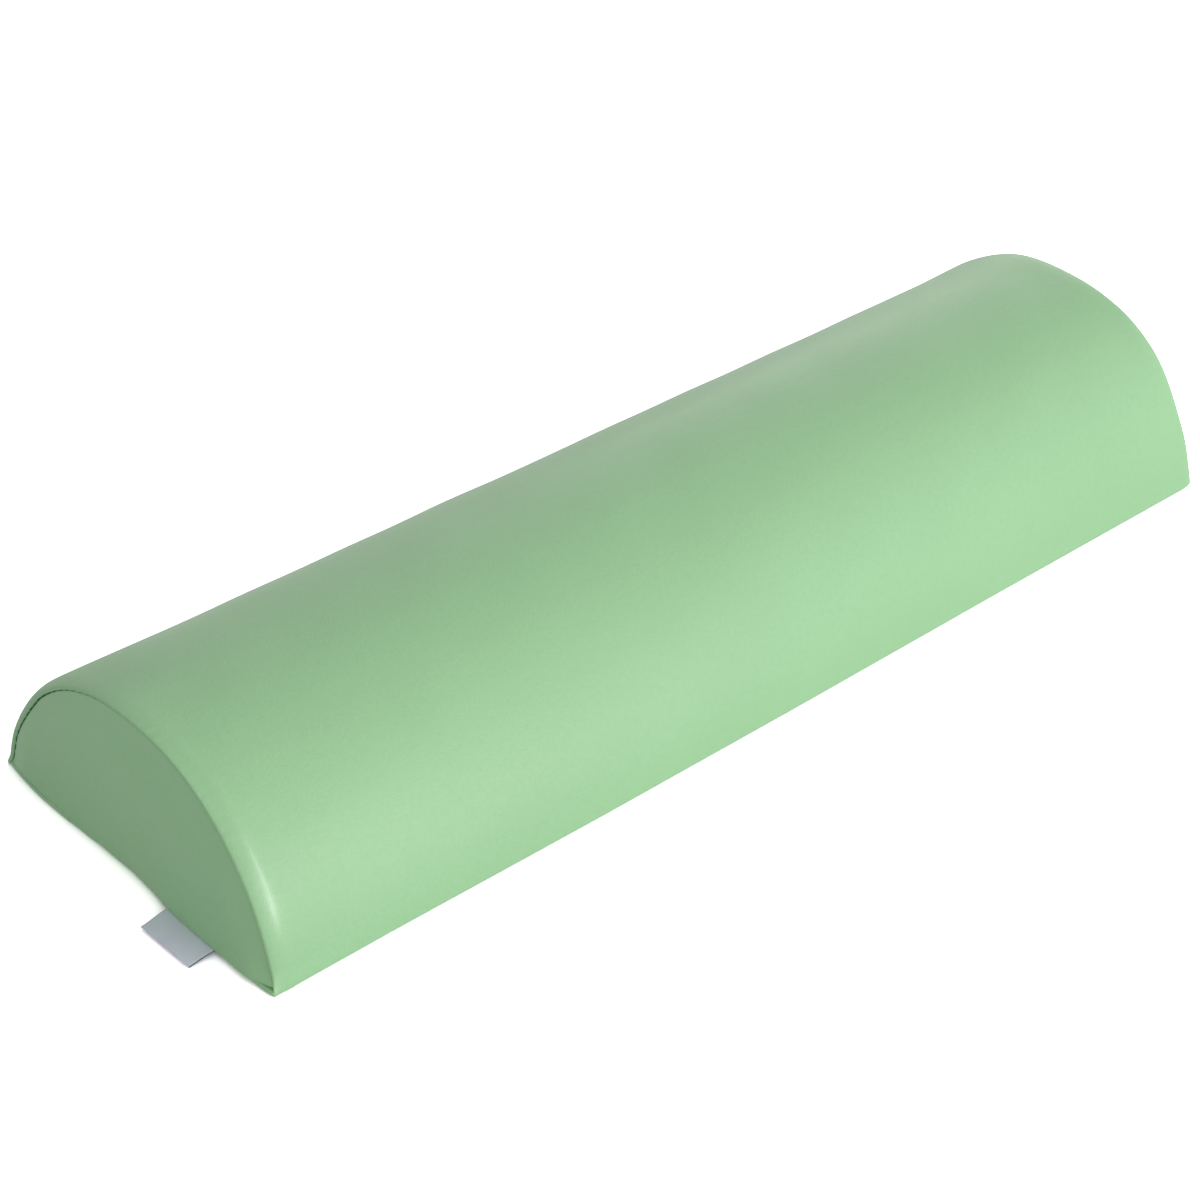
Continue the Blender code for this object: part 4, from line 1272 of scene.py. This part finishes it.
def tag_middle(share):
    """Middle line of the folded tag from its sewn root, 0, to its fold, 1."""
    x = TAG_ROOT_X + TAG_REACH * share
    places = TAG_ROOT_X + TAG_REACH * np.array(TAG_SHARES)
    z = np.interp(x, *softened(places[::-1], TAG_HEIGHTS[::-1], TAG_BEND))
    outside = np.clip((share - 0.40) / 0.5, 0, 1)
    return x, z, TAG_GAP + TAG_OUTER_GAP * np.sin(math.pi / 2 * outside)


def make_tag():
    """A strip of satin weave folded double, arched across and a little curled."""
    x, z, gap = tag_middle(np.linspace(0, 1, 48))
    turn = math.pi * (0.5 + np.linspace(0, 1, 9)[1:-1])
    fold_x, fold_z = x[-1] + np.cos(turn) * gap[-1], z[-1] + np.sin(turn) * gap[-1]
    line_x = np.concatenate([x, fold_x, x[::-1]])[:, None]
    line_z = np.concatenate([z + gap, fold_z, (z - gap)[::-1]])[:, None]
    out = np.clip((line_x - TAG_ROOT_X) / TAG_REACH, 0, 1)
    free = smooth((out - 0.45) / 0.5)
    lower = smooth((np.arange(len(line_x)) - len(x)) / 6)[:, None]
    across = np.linspace(-1, 1, 36)
    middle = TAG_PLACE[0] + (TAG_PLACE[1] - TAG_PLACE[0]) * free
    half = TAG_HALF[0] + (TAG_HALF[1] - TAG_HALF[0]) * free
    y = middle + across * half - lower * LOWER_PLY_SHIFT[1] * free
    lift = free * (TAG_ARCH * (1 - across**2) + TAG_SLANT * across)
    ripple = free * TAG_RIPPLE * waves(y, (0.009, 0.014, 0.023), 90)
    skew = -TAG_SKEW * across * free + lower * LOWER_PLY_SHIFT[0] * free
    height = np.maximum(line_z + lift + ripple, TAG_CLEARANCE)
    obj = skin("tag_weave", xyz(line_x + skew, y, height), [], tag_front)
    obj.data.materials.append(tag_back)
    if vectors(obj.data.polygons, "normal")[:200, 2].sum() < 0:
        obj.data.flip_normals()
    put(
        obj.modifiers.new("weave thickness", "SOLIDIFY"), thickness=TAG_PLY, offset=0.0,
        material_offset=1, material_offset_rim=1,
    )
    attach(obj, "cover")
    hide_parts("side_tag")


# Foam

# How far the foam's stations beside its ends are from the rims
FOAM_ENDS = (0.0080, 0.0095, 0.012, 0.016)
FOAM_INSET = 0.0034
FOAM_FOOT = 0.011
FOAM_ROUND = 0.004


def make_foam():
    """The cut foam block inside, with the soft edges that the cover presses on it."""
    half = np.concatenate([RIM_X - np.array(FOAM_ENDS), np.linspace(RIM_X - 0.022, 0, 30)])
    x = np.concatenate([-half, half[::-1][1:]])
    outer = np.clip((np.abs(x) - RIM_X + 0.014) / 0.006, 0, 1)
    rounding = (FOAM_ROUND * (1 - np.sqrt(1 - outer**2)))[:, None]
    share = np.linspace(-1, 1, 61)
    rows = wall_rows(x, share, FOAM_INSET + rounding, FOAM_FOOT + rounding)[0]
    steps = np.linspace(0, 1, 24)[None, 1:-1, None]
    under = rows[:, -1:] * (1 - steps) + rows[:, :1] * steps
    points, faces = loft(np.concatenate([rows, under], 1))
    obj = new_mesh("foam_block", points, faces, foam)
    outward(obj)
    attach(obj, "cover")
    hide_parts("foam_core")


# Studio

WHITE = (1.0, 1.0, 1.0)
AMBIENT = 0.40
FLOOR_HALF = 6
FLOOR_Z = -0.0003
FLOOR_TINT = (0.98, 0.92, 0.98)
CONTACT_SHADOW = 0.006
CONTACT_DEPTH = 0.55
FLOOR_GLOSS_GLOW = 0.17
LAMP_DISTANCE = 2.2
LAMP_AIM = (0, 0, 0.04)
# Name, direction from the roll, size in metres and power in watts
LAMPS = (
    ("front_softbox", (0, -0.97, 0.24), (1.2, 1.2), 8.4),
    ("key_softbox", (0.28, -0.95, 0.15), (1.2, 0.8), 10.5),
    ("high_softbox", (0.3, -0.75, 0.6), (1.2, 1.2), 4.6),
    ("tall_strip", (0.27, -0.85, 0.42), (0.16, 1.0), 2.9),
    ("overhead_softbox", (0, 0, 1), (1.2, 1.2), 3.0),
    ("back_softbox", (0.75, 0.6, 0.25), (1.2, 0.8), 3.6),
    ("right_softbox", (0.95, -0.2, 0.25), (1.2, 1.2), 4.8),
    ("left_strip", (-0.72, -0.68, 0.15), (0.25, 0.9), 2.6),
)
# The camera's place and axes, and its focal length in pixels of the photograph's frame
CAMERA_EYE = (-0.53600094 - RIM_X, -0.79899667, 0.83542542)
CAMERA_RIGHT = (0.73034691, -0.68096574, 0.0536569)
CAMERA_UP = (0.36636066, 0.45680123, 0.81062476)
CAMERA_AHEAD = (0.57651823, 0.57237951, -0.58310242)
FOCAL_PIXELS = 2958.98
FRAME_PIXELS = 1200
SENSOR_WIDTH = 36.0


def make_world():
    """An even light, which the camera and mirror-like surfaces see as white."""
    n = Nodes(bpy.data.worlds.new("studio"))
    bpy.context.scene.world = n.owner
    ambient = n.set(n.tree.nodes["Background"], Color=WHITE, Strength=AMBIENT)
    seen = n.add("Background", Color=WHITE, Strength=1.0)
    rays = n.add("LightPath").outputs
    direct = n.math("MAXIMUM", rays["Is Camera Ray"], rays["Is Glossy Ray"])
    direct = n.math("MAXIMUM", direct, rays["Is Transmission Ray"])
    surface = n.join("MixShader", direct, ambient.outputs[0], seen.outputs[0])
    n.set(n.tree.nodes["World Output"], Surface=surface)


def floor_material():
    """A pale floor. The camera sees it lit to white, with the object's shadow on it."""
    n = Material("pale_floor", (0.82, 0.82, 0.82))
    n.tree.nodes.remove(n.shader)
    tone = n.mix(n.range(n.noise(n.where, 3.0), 0.3, 0.7), (0.81, 0.81, 0.81), (0.83, 0.83, 0.83))
    diffuse = n.add("BsdfDiffuse", Color=tone).outputs[0]
    # The camera's tone takes out the green that the roll casts on the floor beside it, and
    # deepens the shadow where they meet. It is four times as bright, so that it clips to white.
    contact = n.add("AmbientOcclusion", samples=8, Distance=CONTACT_SHADOW)
    open_share = n.range(contact.outputs["AO"], 0.0, 1.0, 1 - CONTACT_DEPTH, 1.0)
    neutral = n.mix(open_share, (0.0, 0.0, 0.0), n.mix(1.0, tone, FLOOR_TINT, "MULTIPLY"))
    bright = n.add("BsdfDiffuse", Color=neutral).outputs[0]
    double = n.join("AddShader", bright, bright)
    seen = n.join("AddShader", double, double)
    glow = n.add("Emission", Strength=FLOOR_GLOSS_GLOW).outputs[0]
    mirrored = n.join("AddShader", diffuse, glow)
    rays = n.add("LightPath").outputs
    for_gloss = n.join("MixShader", rays["Is Glossy Ray"], diffuse, mirrored)
    for_camera = n.join("MixShader", rays["Is Camera Ray"], for_gloss, seen)
    n.set(n.tree.nodes["Material Output"], Surface=for_camera)
    return n.owner


def make_studio():
    make_world()
    corners = [(-1, -1), (1, -1), (1, 1), (-1, 1)]
    points = [(x * FLOOR_HALF, y * FLOOR_HALF, FLOOR_Z) for x, y in corners]
    floor = new_mesh("floor", points, [(0, 1, 2, 3)], floor_material())
    for name, direction, (width, height), power in LAMPS:
        lamp = bpy.data.lights.new(name, "AREA")
        put(lamp, shape="RECTANGLE", size=width, size_y=height, energy=power)
        obj = new_object(name, lamp)
        obj.location = Vector(direction).normalized() * LAMP_DISTANCE
        ahead = Vector(LAMP_AIM) - obj.location
        obj.rotation_euler = ahead.to_track_quat("-Z", "Y").to_euler()
        obj.visible_camera = False
    bpy.context.scene.view_settings.view_transform = "Standard"


def make_camera():
    camera = bpy.data.cameras.new("photo_camera")
    lens = FOCAL_PIXELS / FRAME_PIXELS * SENSOR_WIDTH
    put(camera, sensor_width=SENSOR_WIDTH, lens=lens, clip_start=0.01, clip_end=50)
    obj = new_object("photo_camera", camera)
    turned = Matrix((CAMERA_RIGHT, CAMERA_UP, -Vector(CAMERA_AHEAD))).transposed().to_4x4()
    obj.matrix_world = Matrix.Translation(CAMERA_EYE) @ turned
    bpy.context.scene.camera = obj


make_camera()
arch = make_arch()
near_cap = make_cap(-1, "near_cap_cover")
far_cap = make_cap(1, "far_cap_cover")
base_front = make_base(-1, "base_cover_front")
base_rear = make_base(1, "base_cover_rear")
for obj, node, fill in (
    (arch, "arch_panel", 0.95),
    (near_cap, "near_end_panel", 0.85),
    (far_cap, "far_end_panel", 0.85),
    (base_front, "base_panel_front", 0.8),
    (base_rear, "base_panel_rear", 0.8),
):
    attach(obj, "cover")
    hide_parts(node)
make_foam()
make_tag()
for word, side in (("front", -1), ("rear", 1)):
    make_coil(word, side)
    make_tape(word, side)
dress_metal()
make_stitches()
make_studio()
